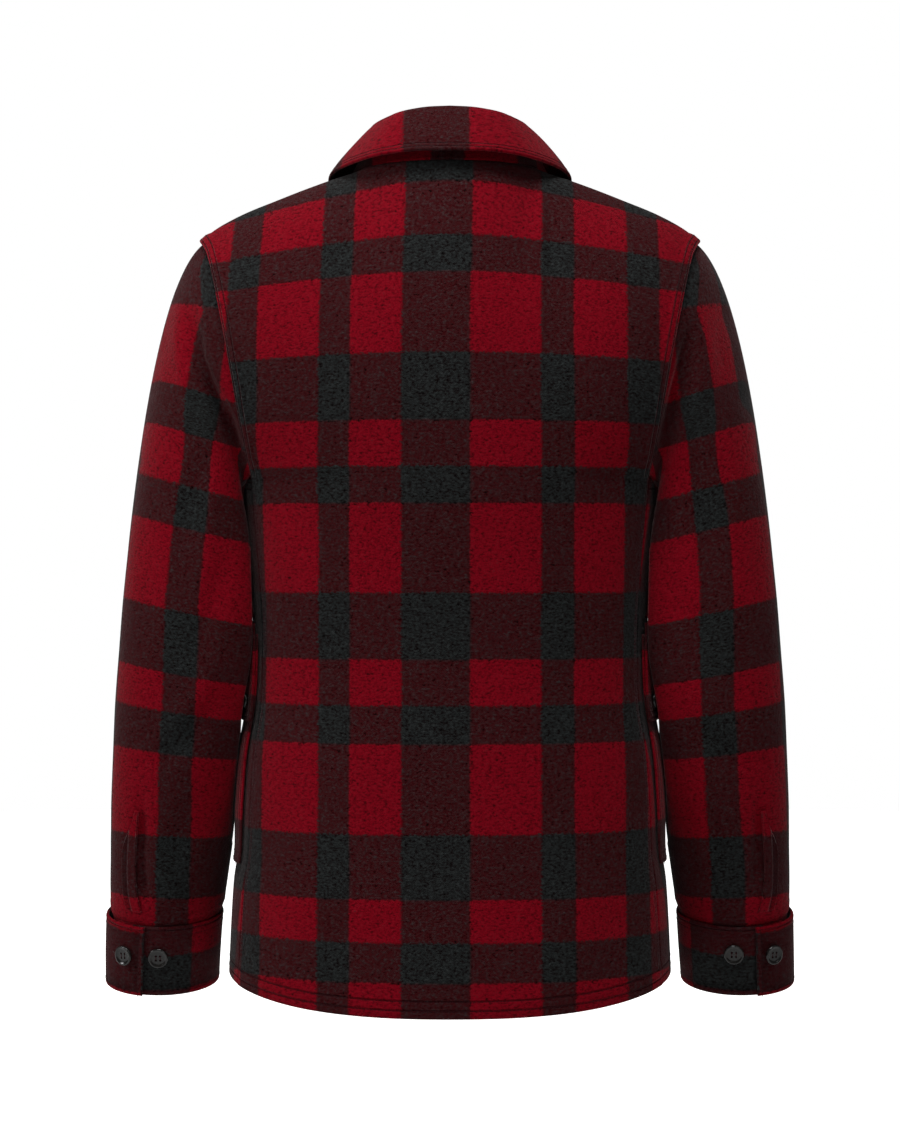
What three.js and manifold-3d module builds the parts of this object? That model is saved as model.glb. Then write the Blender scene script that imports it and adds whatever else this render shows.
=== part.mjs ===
// Wool overshirt in a large check, worn form without a wearer, in millimetres.
// +X is the wearer's left, -Y the front, +Z up. The origin is the middle of the base of the neck.
import * as THREE from "three";
import Module from "manifold-3d";

// Cloth and seams
const CLOTH = 2.2;
const SEAM_GAP = 0.4;
const SHOULDER_GAP = 0.7;
const LAP = 0.9;
const UNDERLAP = 1.5;

// Torso: half width, and depth behind and in front of the side line, at each height
const TORSO = [
  { z: -760, half: 199.5, back: 130, front: 127 },
  { z: -709, half: 198, back: 128, front: 126 },
  { z: -631, half: 194, back: 121, front: 123 },
  { z: -600, half: 189.9, back: 118, front: 121 },
  { z: -559, half: 188.9, back: 115, front: 120 },
  { z: -514, half: 186, back: 112, front: 119 },
  { z: -469, half: 178.6, back: 109, front: 118 },
  { z: -424, half: 177, back: 108, front: 117 },
  { z: -379, half: 178, back: 110, front: 117 },
  { z: -330, half: 182, back: 113, front: 118 },
  { z: -272, half: 187, back: 117, front: 119 },
  { z: -225, half: 187, back: 118, front: 119 },
];
const ROUNDNESS = 2.4;
const UNDERARM_Z = -272;
const SIDE_SEAM = 73;
const HEM_Z = -709;
const HEM_DROP = 24;
const SHOULDER_Y = -2;

// Lines of the upper body
const CENTRE_BACK = [[0, 117, -272], [0, 119, -200], [0, 114, -130], [0, 98, -62], [0, 68, 7]];
const CENTRE_FRONT = [[0, -119, -272], [0, -117, -205], [0, -107, -140], [0, -86, -72]];
const NECK_BACK = [[0, 68, 7], [38, 60, 7], [72, 33, 6.5], [88, -2, 5]];
const NECK_FRONT = [[0, -86, -72], [26, -82, -64], [58, -65, -44], [79, -37, -19], [88, -2, 5]];
const SHOULDER = [
  [88, -2, 5], [108, -2, -1.5], [131, -2, -9.8], [154, -2, -18.8], [187, -2, -32.3],
  [211.5, -2, -45.8], [225, -2, -57],
];
const ARMHOLE_BACK = [[217, 32, -74], [204, 67, -120], [191, 79, -178], [182, 74, -228], [177, 64, -256]];
const ARMHOLE_FRONT = [[173, -58, -188], [173, -61, -145], [186, -54, -102], [209, -35, -73]];
const ARMHOLE_TURN = 105;
const ARMHOLE_TURN_Z = -230;
const ARMHOLE_CURVE = 2;
const NECK_AT_BACK = 0.42;
const NECK_AT_FRONT = 0.46;
const NECK_EASE_FRONT = 1.22;

// Grid steps of the body panels
const NECK_STEPS = 6;
const SHOULDER_STEPS = 8;
const LOWER_STEPS = 9;
const BACK_STEPS = 11;
const FRONT_STEPS = 9;
const SIDE_STEPS = 4;

// Front closing
const FRONT_BUTTON_Z = [-96, -208, -320, -432, -544, -656];

// Sleeve below the biceps: axis, half width, half depth, tilt, lean behind the body and clearance from it
const SLEEVE = [
  { z: -330, x: 231, y: 7, half: 57, deep: 61, tilt: 0, lean: 0.34, clear: 2.6 },
  { z: -379, x: 230.3, y: 11, half: 62.2, deep: 60, tilt: 0.01, lean: 0.36, clear: 7.2 },
  { z: -424, x: 232, y: 11, half: 64, deep: 59, tilt: 0.02, lean: 0.34, clear: 8 },
  { z: -469, x: 235.9, y: 8, half: 63.9, deep: 58, tilt: 0.03, lean: 0.3, clear: 12.4 },
  { z: -514, x: 242.2, y: 3, half: 60.2, deep: 56, tilt: 0.05, lean: 0.24, clear: 5.4 },
  { z: -559, x: 247.5, y: -4, half: 57.5, deep: 54, tilt: 0.09, lean: 0.16, clear: 4.6 },
  { z: -584, x: 250.1, y: -9, half: 55.9, deep: 52.5, tilt: 0.12, lean: 0.08, clear: 4.6 },
  { z: -613, x: 252.9, y: -14, half: 54.1, deep: 50.5, tilt: 0.16, lean: 0, clear: 4.6 },
  { z: -640, x: 255.4, y: -19, half: 52.4, deep: 47.5, tilt: 0.2, lean: 0, clear: 4 },
  { z: -650, x: 256.2, y: -21, half: 51.2, deep: 44.5, tilt: 0.22, lean: 0, clear: 4 },
  { z: -655.5, x: 257, y: -22.3, half: 48.3, deep: 40.8, tilt: 0.22, lean: 0, clear: 4 },
  { z: -672, x: 258, y: -25.5, half: 48.3, deep: 40.9, tilt: 0.22, lean: 0, clear: 4 },
];
const SLEEVE_SOFT = 3;
const CAP_STEPS = [0, 0.06, 0.13, 0.2, 0.28, 0.37, 0.48, 0.6, 0.74, 0.87, 1];
const CAP_REACH = [
  { u: 0, out: 145, swell: 0 }, { u: 0.1, out: 115, swell: 0 }, { u: 0.2, out: 80, swell: 1 },
  { u: 0.3, out: 68, swell: 3 }, { u: 0.45, out: 68, swell: 4 }, { u: 0.62, out: 82, swell: 6 },
  { u: 0.75, out: 84, swell: 5 }, { u: 0.88, out: 112, swell: 0 }, { u: 1, out: 145, swell: 0 },
];
const SLEEVE_ROWS = [-358, -390, -428, -466, -504, -540, -572, -600, -622, -640, -650, -655.5, -672];

// Cuff
const CUFF_WALL = 2.6;
const CUFF_TOP = { z: -656, x: 257.3, y: -22.3, half: 51.9, deep: 44.5 };
const CUFF_BOTTOM = { z: -721, x: 261.3, y: -34.5, half: 50.6, deep: 42.5 };
const CUFF_TILT = 0.22;
const CUFF_START = 38;
const CUFF_END = 434;
const CUFF_RISE = 3;
const CUFF_STEPS = 44;

// Sleeve vent strip, angles round the sleeve from its outer side towards the back
const VENT = [
  { z: -560, edge: 59 }, { z: -585, edge: 62 }, { z: -610, edge: 66 }, { z: -632, edge: 70 },
  { z: -647, edge: 73 },
];
const VENT_WIDTH = 16;
const VENT_THICK = 2;

// Collar: half of each line from the centre back round to the front
const COLLAR = [
  { k: 0, x: 0, y: 53, z: 49, edgeX: 0, edgeY: 82, edgeZ: 14 },
  { k: 2, x: 28, y: 49, z: 48.5, edgeX: 37, edgeY: 78, edgeZ: 13.5 },
  { k: 4, x: 54, y: 32, z: 45.5, edgeX: 74, edgeY: 56, edgeZ: 10.5 },
  { k: 6, x: 72, y: -3, z: 37, edgeX: 107.5, edgeY: -2, edgeZ: 5.4 },
  { k: 8, x: 67, y: -40, z: 9 },
  { k: 10, x: 42, y: -66, z: -22 },
  { k: 12, x: 9, y: -80, z: -44 },
];
const COLLAR_ON_FRONT = [{ k: 8, p: 0.54, q: 0.9 }, { k: 10, p: 0.52, q: 0.77 }, { k: 12, p: 0.43, q: 0.63 }];
const COLLAR_GAP = 0.6;
const COLLAR_END = 0.35;
const COLLAR_ROLL = 9;
const FALL_WALL = 3.2;
const FALL_CLEAR = 5.2;

// Lower pockets, in distances forward from the side seam and heights
const POCKET = { top: -408, bottom: -611, back: 5, low: 11, front: 230, off: 1.2, wall: 2.2, stand: 0.5 };
const FLAP = { top: -398, bottom: -486, back: 5, low: 5, front: 233, off: 4.4, wall: 2.4 };
const WELT = { top: -347, bottom: -394, back: 16, low: 16, front: 28, off: 0.7, wall: 2, bow: 2.5 };
const FLAP_BUTTONS = [{ along: 18, z: -468 }, { along: 212, z: -468 }];

// Buttons
const BUTTON_R = 9;
const BUTTON_THICK = 3;
const SMALL_R = 7.5;
const HOLE_R = 1;
const HOLE_SPACING = 1.9;

const V = (x, y, z) => new THREE.Vector3(x, y, z);
const toV = (list) => list.map(([x, y, z]) => V(x, y, z));
const rad = THREE.MathUtils.degToRad;
const smooth = (t) => {
  const c = Math.min(1, Math.max(0, t));
  return c * c * (3 - 2 * c);
};

// A row of named columns at a value of its key, on a smooth curve through the rows.
function row(table, key, value) {
  const rows = [...table].sort((a, b) => a[key] - b[key]);
  const last = rows.length - 1;
  const x = Math.min(rows[last][key], Math.max(rows[0][key], value));
  let i = 0;
  while (i < last - 1 && rows[i + 1][key] < x) i += 1;
  const slope = (k, name) => {
    const lo = rows[Math.max(0, k - 1)];
    const hi = rows[Math.min(last, k + 1)];
    return (hi[name] - lo[name]) / (hi[key] - lo[key]);
  };
  const h = rows[i + 1][key] - rows[i][key];
  const t = (x - rows[i][key]) / h;
  const out = {};
  for (const name of Object.keys(rows[0])) {
    const a = rows[i][name];
    const b = rows[i + 1][name];
    out[name] =
      a * (2 * t ** 3 - 3 * t ** 2 + 1) +
      h * slope(i, name) * (t ** 3 - 2 * t ** 2 + t) +
      b * (3 * t ** 2 - 2 * t ** 3) +
      h * slope(i + 1, name) * (t ** 3 - t ** 2);
  }
  return out;
}

// A smooth line through points, read at a share of its length.
function line(points, closed = false, from = 0, to = 1, samples = 240) {
  const curve = new THREE.CatmullRomCurve3(points, closed, "centripetal");
  const at = [];
  const along = [0];
  for (let i = 0; i <= samples; i += 1) {
    at.push(curve.getPoint(from + ((to - from) * i) / samples));
    if (i > 0) along.push(along[i - 1] + at[i].distanceTo(at[i - 1]));
  }
  const total = along[samples];
  const read = (share) => {
    const target = Math.min(1, Math.max(0, share)) * total;
    let i = 1;
    while (i < samples && along[i] < target) i += 1;
    const t = (target - along[i - 1]) / (along[i] - along[i - 1]);
    return at[i - 1].clone().lerp(at[i], t);
  };
  read.total = total;
  return read;
}

// Torso ring: angle from the centre back towards the wearer's left
function ring(phi, z) {
  const size = row(TORSO, "z", z);
  const c = Math.cos(phi);
  const s = Math.sin(phi);
  const deep = c >= 0 ? size.back : size.front;
  const r = (Math.abs(c / deep) ** ROUNDNESS + Math.abs(s / size.half) ** ROUNDNESS) ** (-1 / ROUNDNESS);
  return V(r * s, r * c, z);
}

// Angles that share out the ring evenly between two angles
function evenAngle(from, to) {
  const n = 180;
  const angles = [];
  const along = [0];
  for (let i = 0; i <= n; i += 1) {
    angles.push(from + ((to - from) * i) / n);
    if (i > 0) {
      along.push(along[i - 1] + ring(angles[i], UNDERARM_Z).distanceTo(ring(angles[i - 1], UNDERARM_Z)));
    }
  }
  const read = (share) => {
    const target = share * along[n];
    let i = 1;
    while (i < n && along[i] < target) i += 1;
    const t = (target - along[i - 1]) / (along[i] - along[i - 1]);
    return angles[i - 1] + (angles[i] - angles[i - 1]) * t;
  };
  read.total = along[n];
  return read;
}

const corner = ring(rad(SIDE_SEAM), UNDERARM_Z);
const turn = ring(rad(ARMHOLE_TURN), ARMHOLE_TURN_Z);
const loop = [V(225, SHOULDER_Y, -57), ...toV(ARMHOLE_BACK), corner, turn, ...toV(ARMHOLE_FRONT)];
const cornerAt = (ARMHOLE_BACK.length + 1) / loop.length;
const turnAt = (ARMHOLE_BACK.length + 2) / loop.length;
const armholeBack = line(loop, true, cornerAt, 0);
const armholeFront = line(loop, true, turnAt, 1);
const shoulder = line(toV(SHOULDER));

// One side of the body, behind or before the side seam. Share p runs from the centre (0) to the upright part
// of the armhole (1), and on to the side seam (last) under the arm. Height v runs from the hem (0) over the
// foot of the armhole (1) to the neck and shoulder (2). Below 0, p is past the centre.
function side({ from, turnAngle, turnZ, centre, neck, armhole, neckAt, ease, gap, facing }) {
  const all = evenAngle(rad(from), rad(SIDE_SEAM));
  const main = evenAngle(rad(from), rad(turnAngle));
  const last = all.total / main.total;
  const angle = (p) => (p <= 1 ? main(p) : all(p / last));
  const middle = line(toV(centre));
  const neckLine = line(toV(neck));
  const start = middle(0);
  const end = ring(rad(turnAngle), turnZ);
  const footZ = (p) => {
    if (p <= 1) return UNDERARM_Z + (turnZ - UNDERARM_Z) * p ** 2;
    const t = (last - p) / (last - 1);
    return UNDERARM_Z + (turnZ - UNDERARM_Z) * t ** ARMHOLE_CURVE;
  };
  const top = (p) => {
    if (p < neckAt) return neckLine((p / neckAt) ** ease);
    const at = shoulder((p - neckAt) / (1 - neckAt));
    return at.setY(SHOULDER_Y + gap);
  };
  const plain = (p, q) => {
    const foot = ring(angle(p), footZ(p));
    const gx = foot.x / end.x;
    const gy = (start.y - foot.y) / (start.y - end.y);
    const blend = (a, b) => V(b.x * gx, a.y + (b.y - a.y) * gy, a.z + (b.z - a.z) * p ** 2);
    const ends = blend(middle(1), armhole(1));
    return blend(middle(q), armhole(q)).addScaledVector(top(p).sub(ends), q ** 3);
  };
  const upper = (p, q) => {
    const at = plain(p, q);
    const rise = plain(p, 1).sub(plain(p, 0.995)).divideScalar(0.005);
    const fix = smooth((p - neckAt + 0.16) / 0.16) * q ** 4 * (q - 1);
    at.x -= rise.x * fix;
    at.z -= rise.z * fix;
    return at;
  };
  const hem = (phi) => {
    const at = ring(phi, HEM_Z);
    const size = row(TORSO, "z", HEM_Z);
    return HEM_Z - HEM_DROP * Math.abs(at.y / (at.y >= 0 ? size.back : size.front)) ** 1.6;
  };
  const point = (p, v) => {
    const a = Math.min(Math.abs(p), last);
    let at;
    if (v <= 1) {
      const low = hem(angle(a));
      at = ring(angle(a), low + (footZ(a) - low) * v);
    } else {
      at = upper(Math.min(a, 1), v - 1);
    }
    if (p < 0) at.x = -at.x;
    return at;
  };
  const normal = (p, v) => {
    if (v === 2 && p >= neckAt) {
      const t = (p - neckAt) / (1 - neckAt);
      const along = shoulder(t + 0.01).sub(shoulder(t - 0.01));
      return V(-along.z, 0, along.x).normalize();
    }
    const d = 0.004;
    const most = v > 1 ? 1 : last;
    const across = point(Math.min(p + d, most), v).sub(point(Math.max(p - d, -most), v));
    const [low, high] = v > 1 ? [1.0001, 2] : [0, 1];
    const up = point(p, Math.min(v + d, high)).sub(point(p, Math.max(v - d, low)));
    return across.cross(up).multiplyScalar(facing).normalize();
  };
  const heightToV = (p, z) => {
    const low = hem(angle(Math.abs(p)));
    return (z - low) / (footZ(Math.abs(p)) - low);
  };
  return { point, normal, heightToV, last, length: main.total };
}

const BACK = side({
  from: 0, turnAngle: SIDE_SEAM, turnZ: UNDERARM_Z, centre: CENTRE_BACK, neck: NECK_BACK,
  armhole: armholeBack, neckAt: NECK_AT_BACK, ease: 1, gap: SHOULDER_GAP / 2, facing: -1,
});
const FRONT = side({
  from: 180, turnAngle: ARMHOLE_TURN, turnZ: ARMHOLE_TURN_Z, centre: CENTRE_FRONT, neck: NECK_FRONT,
  armhole: armholeFront, neckAt: NECK_AT_FRONT, ease: NECK_EASE_FRONT, gap: -SHOULDER_GAP / 2, facing: 1,
});

// A closed solid from a grid of outer points and the matching inner ones. The outer side is the one from
// which rows run up and columns run right. A round grid closes on itself along its columns.
function wall(outer, inner, { round = false, has = () => true } = {}) {
  const rows = outer.length;
  const columns = outer[0].length;
  const count = rows * columns;
  const position = [];
  for (const grid of [outer, inner]) for (const r of grid) for (const p of r) position.push(p.x, p.y, p.z);
  const index = [];
  const edges = new Map();
  const quad = (a, b, c, d) => index.push(a, b, c, a, c, d);
  for (let j = 0; j < rows - 1; j += 1) {
    for (let i = 0; i < (round ? columns : columns - 1); i += 1) {
      if (!has(j, i)) continue;
      const e = (i + 1) % columns;
      const corners = [j * columns + i, j * columns + e, (j + 1) * columns + e, (j + 1) * columns + i];
      const [a, b, c, d] = corners;
      quad(a, b, c, d);
      quad(a + count, d + count, c + count, b + count);
      corners.forEach((from, k) => {
        const to = corners[(k + 1) % 4];
        edges.set(`${from} ${to}`, [from, to]);
      });
    }
  }
  for (const [a, b] of edges.values()) {
    if (!edges.has(`${b} ${a}`)) quad(b, a, a + count, b + count);
  }
  const geometry = new THREE.BufferGeometry();
  geometry.setAttribute("position", new THREE.Float32BufferAttribute(position, 3));
  geometry.setIndex(index);
  geometry.computeVertexNormals();
  return geometry;
}

// The same solid on the wearer's other side
function mirrored(geometry) {
  const copy = geometry.clone();
  const position = copy.getAttribute("position");
  for (let i = 0; i < position.count; i += 1) position.setX(i, -position.getX(i));
  const old = copy.getIndex().array;
  const index = [];
  for (let i = 0; i < old.length; i += 3) index.push(old[i], old[i + 2], old[i + 1]);
  copy.setIndex(index);
  copy.computeVertexNormals();
  return copy;
}

// Unit normals of a grid of points, on the side from which rows run up and columns run right
function gridNormals(grid, round = false) {
  const rows = grid.length;
  const n = grid[0].length;
  return grid.map((r, j) =>
    r.map((_, i) => {
      const left = round ? r[(i + n - 1) % n] : r[Math.max(0, i - 1)];
      const right = round ? r[(i + 1) % n] : r[Math.min(n - 1, i + 1)];
      const low = grid[Math.max(0, j - 1)][i];
      const high = grid[Math.min(rows - 1, j + 1)][i];
      return right.clone().sub(left).cross(high.clone().sub(low)).normalize();
    }),
  );
}

const moved = (grid, normals, by) =>
  grid.map((r, j) => r.map((p, i) => p.clone().addScaledVector(normals[j][i], by)));

const material = (name, color, roughness) => {
  const m = new THREE.MeshStandardMaterial({ color, roughness });
  m.name = name;
  return m;
};
const WOOL = material("wool_check", 0x5a0a10, 0.95);
const BUTTON = material("button", 0x141210, 0.35);
const object = new THREE.Group();
object.name = "wool_overshirt";
function add(name, geometry, look) {
  const mesh = new THREE.Mesh(geometry, look);
  mesh.name = name;
  object.add(mesh);
}

// Body panels
const steps = (from, to, n) => Array.from({ length: n + 1 }, (_, i) => from + ((to - from) * i) / n);
const half = (neckAt) => [...steps(0, neckAt, NECK_STEPS), ...steps(neckAt, 1, SHOULDER_STEPS).slice(1)];
const trim = SEAM_GAP / 2;

// Grid of a panel: points on the outer face, with the side seam trimmed by half the gap
function panel(body, columns, upperSteps, lift = () => 0) {
  const rows = [...steps(0, 1, LOWER_STEPS), ...steps(1, 2, upperSteps).slice(1)];
  const outer = [];
  const inner = [];
  for (const v of rows) {
    const a = [];
    const b = [];
    for (const p of columns) {
      const q = v <= 1 && Math.abs(p) === body.last ? Math.sign(p) * (body.last - trim / body.length) : p;
      const n = body.normal(q, v);
      const at = body.point(q, v).addScaledVector(n, lift(p));
      a.push(at);
      b.push(at.clone().addScaledVector(n, -CLOTH));
    }
    outer.push(a);
    inner.push(b);
  }
  const has = (j, i) => rows[j + 1] <= 1 || Math.max(Math.abs(columns[i]), Math.abs(columns[i + 1])) <= 1;
  return { outer, inner, has };
}

const backHalf = half(NECK_AT_BACK);
const backColumns = [...backHalf.slice(1).reverse().map((p) => -p), ...backHalf];
const flip = (grid) => grid.map((r) => [...r].reverse());
const back = panel(BACK, backColumns, BACK_STEPS);
add("back", wall(flip(back.outer), flip(back.inner)), WOOL);

const past = NECK_AT_FRONT / NECK_STEPS;
const sideColumns = steps(1, FRONT.last, SIDE_STEPS);
const frontColumns = [-past, ...half(NECK_AT_FRONT), ...sideColumns.slice(1)];
const lapOver = (p) => (CLOTH + SEAM_GAP + 0.2) * (1 - smooth((p - past) / 0.12));
const left = panel(FRONT, frontColumns, FRONT_STEPS, lapOver);
const right = panel(FRONT, frontColumns, FRONT_STEPS);
add("front_left", wall(left.outer, left.inner, left), WOOL);
add("front_right", mirrored(wall(right.outer, right.inner, right)), WOOL);

// Sleeve: its head starts under the edge of the armhole and turns down into rings round the arm
const edgePoints = [
  ...steps(2, 1, BACK_STEPS).slice(0, -1).map((v) => ({ body: BACK, p: 1, v })),
  ...[...sideColumns].reverse().slice(0, -1).map((p) => ({ body: FRONT, p, v: 1 })),
  ...steps(1, 2, FRONT_STEPS).slice(0, -1).map((v) => ({ body: FRONT, p: 1, v })),
];
const columnsRound = edgePoints.length;
const edge = edgePoints.map(({ body, p, v }) => ({ at: body.point(p, v), n: body.normal(p, v) }));
edge[0].at.y = SHOULDER_Y;
const round = [0];
for (let k = 0; k < columnsRound; k += 1) {
  round.push(round[k] + edge[k].at.distanceTo(edge[(k + 1) % columnsRound].at));
}
function besideBody(at, clear) {
  const limit = ring(Math.atan2(at.x, at.y), at.z).setZ(0).length() + clear;
  const r = Math.hypot(at.x, at.y);
  const over = r - limit;
  const scale = (limit + (over + Math.hypot(over, SLEEVE_SOFT)) / 2) / r;
  return V(at.x * scale, at.y * scale, at.z);
}
function sleeveRing(z, theta) {
  const size = row(SLEEVE, "z", z);
  const y = size.deep * Math.sin(theta);
  const x = size.x + size.half * Math.cos(theta) - size.lean * Math.max(0, y) * (1 - Math.cos(theta)) / 2;
  const at = V(x, size.y + y, z - size.tilt * y);
  return z > -600 ? besideBody(at, size.clear) : at;
}
const sleeveGrid = [[]];
for (let j = 0; j < CAP_STEPS.length + SLEEVE_ROWS.length; j += 1) sleeveGrid.push([]);
for (let k = 0; k < columnsRound; k += 1) {
  const u = round[k] / round[columnsRound];
  const theta = 2 * Math.PI * u;
  const before = edge[(k + columnsRound - 1) % columnsRound].at;
  const after = edge[(k + 1) % columnsRound].at;
  const tangent = after.clone().sub(before).normalize();
  const away = edge[k].n.clone().cross(tangent).negate().normalize();
  const start = edge[k].at.clone().addScaledVector(edge[k].n, -CLOTH - LAP);
  const end = sleeveRing(-330, theta);
  const down = sleeveRing(-345, theta).sub(end).normalize();
  const reach = start.distanceTo(end) * 1.05;
  const { out, swell } = row(CAP_REACH, "u", u);
  const { clear } = row(SLEEVE, "z", -330);
  sleeveGrid[0].push(start.clone().addScaledVector(away, -UNDERLAP));
  CAP_STEPS.forEach((t, j) => {
    const at = start.clone().multiplyScalar(2 * t ** 3 - 3 * t ** 2 + 1);
    at.addScaledVector(away, out * (t ** 3 - 2 * t ** 2 + t));
    at.addScaledVector(end, 3 * t ** 2 - 2 * t ** 3);
    at.addScaledVector(down, reach * (t ** 3 - t ** 2));
    at.addScaledVector(edge[k].n, swell * 16 * t ** 2 * (1 - t) ** 2);
    const beside = t > 0.4 && at.z < UNDERARM_Z + 20;
    if (beside) at.lerp(besideBody(at, clear), smooth((t - 0.3) / 0.25));
    sleeveGrid[1 + j].push(at);
  });
  SLEEVE_ROWS.forEach((z, j) => sleeveGrid[1 + CAP_STEPS.length + j].push(sleeveRing(z, theta)));
}
const sleeveUp = [...sleeveGrid].reverse();
const sleeveNormals = gridNormals(sleeveUp, true);
edge.forEach(({ n }, k) => {
  sleeveNormals[sleeveUp.length - 1][k] = n;
  sleeveNormals[sleeveUp.length - 2][k] = n;
});
const sleeve = wall(sleeveUp, moved(sleeveUp, sleeveNormals, -CLOTH), { round: true });
add("sleeve_left", sleeve, WOOL);
add("sleeve_right", mirrored(sleeve), WOOL);

// Vent strip above the cuff, lapped towards the back
const ventGrid = [...VENT].reverse().map(({ z, edge: angle }) => {
  const size = row(SLEEVE, "z", z);
  const sweep = VENT_WIDTH / Math.hypot(size.half * Math.sin(rad(angle)), size.deep * Math.cos(rad(angle)));
  return steps(rad(angle) - sweep, rad(angle), 4).map((theta) => sleeveRing(z, theta));
});
const ventNormals = gridNormals(ventGrid);
const vent = wall(moved(ventGrid, ventNormals, 0.4 + VENT_THICK), moved(ventGrid, ventNormals, 0.4));
add("vent_left", vent, WOOL);
add("vent_right", mirrored(vent), WOOL);

// Cuff: a band whose outer end laps over the inner end on the back of the wrist
function cuffRise(angle) {
  return CUFF_RISE * smooth((angle - 290) / (360 + CUFF_START - 290));
}
function cuffPoint(angle, t, out) {
  const size = {};
  for (const k of Object.keys(CUFF_TOP)) size[k] = CUFF_BOTTOM[k] + (CUFF_TOP[k] - CUFF_BOTTOM[k]) * t;
  const theta = rad(angle);
  const y = (size.deep + out) * Math.sin(theta);
  return V(size.x + (size.half + out) * Math.cos(theta), size.y + y, size.z - CUFF_TILT * y);
}
const cuffAngles = steps(CUFF_START, CUFF_END, CUFF_STEPS);
const cuffGrid = (out) => [0, 0.5, 1].map((t) => cuffAngles.map((a) => cuffPoint(a, t, cuffRise(a) + out)));
const cuff = wall(cuffGrid(0), cuffGrid(-CUFF_WALL));
add("cuff_left", cuff, WOOL);
add("cuff_right", mirrored(cuff), WOOL);

// Collar: the stand rises from the neck edge, the fall turns over it and lies down outside
const neckPoint = (k) => {
  if (k <= NECK_STEPS) return BACK.point((k / NECK_STEPS) * NECK_AT_BACK, 2);
  if (k < 2 * NECK_STEPS) return FRONT.point((2 - k / NECK_STEPS) * NECK_AT_FRONT, 2);
  return FRONT.point(0, 2).lerp(FRONT.point(past, 2), COLLAR_END);
};
for (const { k, p, q } of COLLAR_ON_FRONT) {
  const at = FRONT.point(p, 1 + q).addScaledVector(FRONT.normal(p, 1 + q), FALL_CLEAR);
  Object.assign(COLLAR[k / 2], { edgeX: at.x, edgeY: at.y, edgeZ: at.z });
}
const collarAt = (k) => row(COLLAR, "k", k);
const standTop = (k) => {
  const { x, y, z } = collarAt(k);
  return V(x, y, z);
};
const fallEdge = (k) => {
  const { edgeX, edgeY, edgeZ } = collarAt(k);
  return V(edgeX, edgeY, edgeZ);
};
const collarColumns = steps(0, 2 * NECK_STEPS, 2 * NECK_STEPS);
const signed = [...collarColumns.slice(1).map((k) => -k).reverse(), ...collarColumns];
const onSide = (k, f) => {
  const at = f(Math.abs(k));
  if (k < 0) at.x = -at.x;
  return at;
};
const standEnds = (k) => {
  const low = neckPoint(k);
  const high = standTop(k);
  const up = high.clone().sub(low).normalize();
  return { low: low.addScaledVector(up, COLLAR_GAP), high, up };
};
const standRows = [0, 0.5, 1].map((t) =>
  signed.map((s) =>
    onSide(s, (k) => {
      const { low, high } = standEnds(k);
      return low.lerp(high, t);
    }),
  ),
);
const standNormals = gridNormals(standRows).map((r) => r.map((n) => n.negate()));
const stand = wall(flip(standRows), flip(moved(standRows, standNormals, -CLOTH)));
add("collar_stand", stand, WOOL);

const fallRows = [1, 0.84, 0.68, 0.53, 0.4, 0.29, 0.2, 0.12, 0.05, 0].map((t) =>
  signed.map((s) =>
    onSide(s, (k) => {
      const { high, up } = standEnds(k);
      const start = high.addScaledVector(up, COLLAR_GAP);
      const end = fallEdge(k);
      const out = standNormals[2][k + 2 * NECK_STEPS];
      const push = COLLAR_ROLL * smooth((k - 5) / 4);
      const rise = 14 + 11 * (1 - k / (2 * NECK_STEPS));
      const first = start.clone().addScaledVector(up, rise).addScaledVector(out, push);
      const second = end.clone().lerp(start, 0.42).add(V(0, 0, 8)).addScaledVector(out, push);
      const m = 1 - t;
      return start
        .multiplyScalar(m ** 3)
        .addScaledVector(first, 3 * m * m * t)
        .addScaledVector(second, 3 * m * t * t)
        .addScaledVector(end, t ** 3);
    }),
  ),
);
const fallNormals = gridNormals(fallRows).map((r) => r.map((n) => n.negate()));
const fall = wall(flip(fallRows), flip(moved(fallRows, fallNormals, -FALL_WALL)));
add("collar_fall", fall, WOOL);

const fromSeam = (along) => FRONT.last - along / FRONT.length;

// Pocket bag, flap and hand-warmer welt on the front panel
function patch(spec, columns, rows, out) {
  const grid = steps(0, 1, rows).map((t) =>
    steps(0, 1, columns).map((s) => {
      const rear = spec.low + (spec.back - spec.low) * t;
      const p = fromSeam(spec.front + (rear - spec.front) * s);
      const z = spec.bottom + (spec.top - spec.bottom) * t;
      const v = FRONT.heightToV(p, z);
      return { at: FRONT.point(p, v), n: FRONT.normal(p, v), away: spec.off + out(s, t) };
    }),
  );
  const raised = ({ at, n, away }, extra) => at.clone().addScaledVector(n, away + extra);
  const face = (extra) => grid.map((r) => r.map((spot) => raised(spot, extra)));
  return wall(face(spec.wall), face(0));
}
const bulge = (s, t) => POCKET.stand * smooth(s * 4) * smooth(t * 5);
const pocket = patch(POCKET, 12, 7, bulge);
add("pocket_left", pocket, WOOL);
add("pocket_right", mirrored(pocket), WOOL);
const flap = patch(FLAP, 12, 4, () => 0);
add("flap_left", flap, WOOL);
add("flap_right", mirrored(flap), WOOL);
const bow = (s, t) => WELT.bow * Math.sin(Math.PI * t) * s;
const welt = patch(WELT, 2, 6, bow);
add("welt_left", welt, WOOL);
add("welt_right", mirrored(welt), WOOL);

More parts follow.
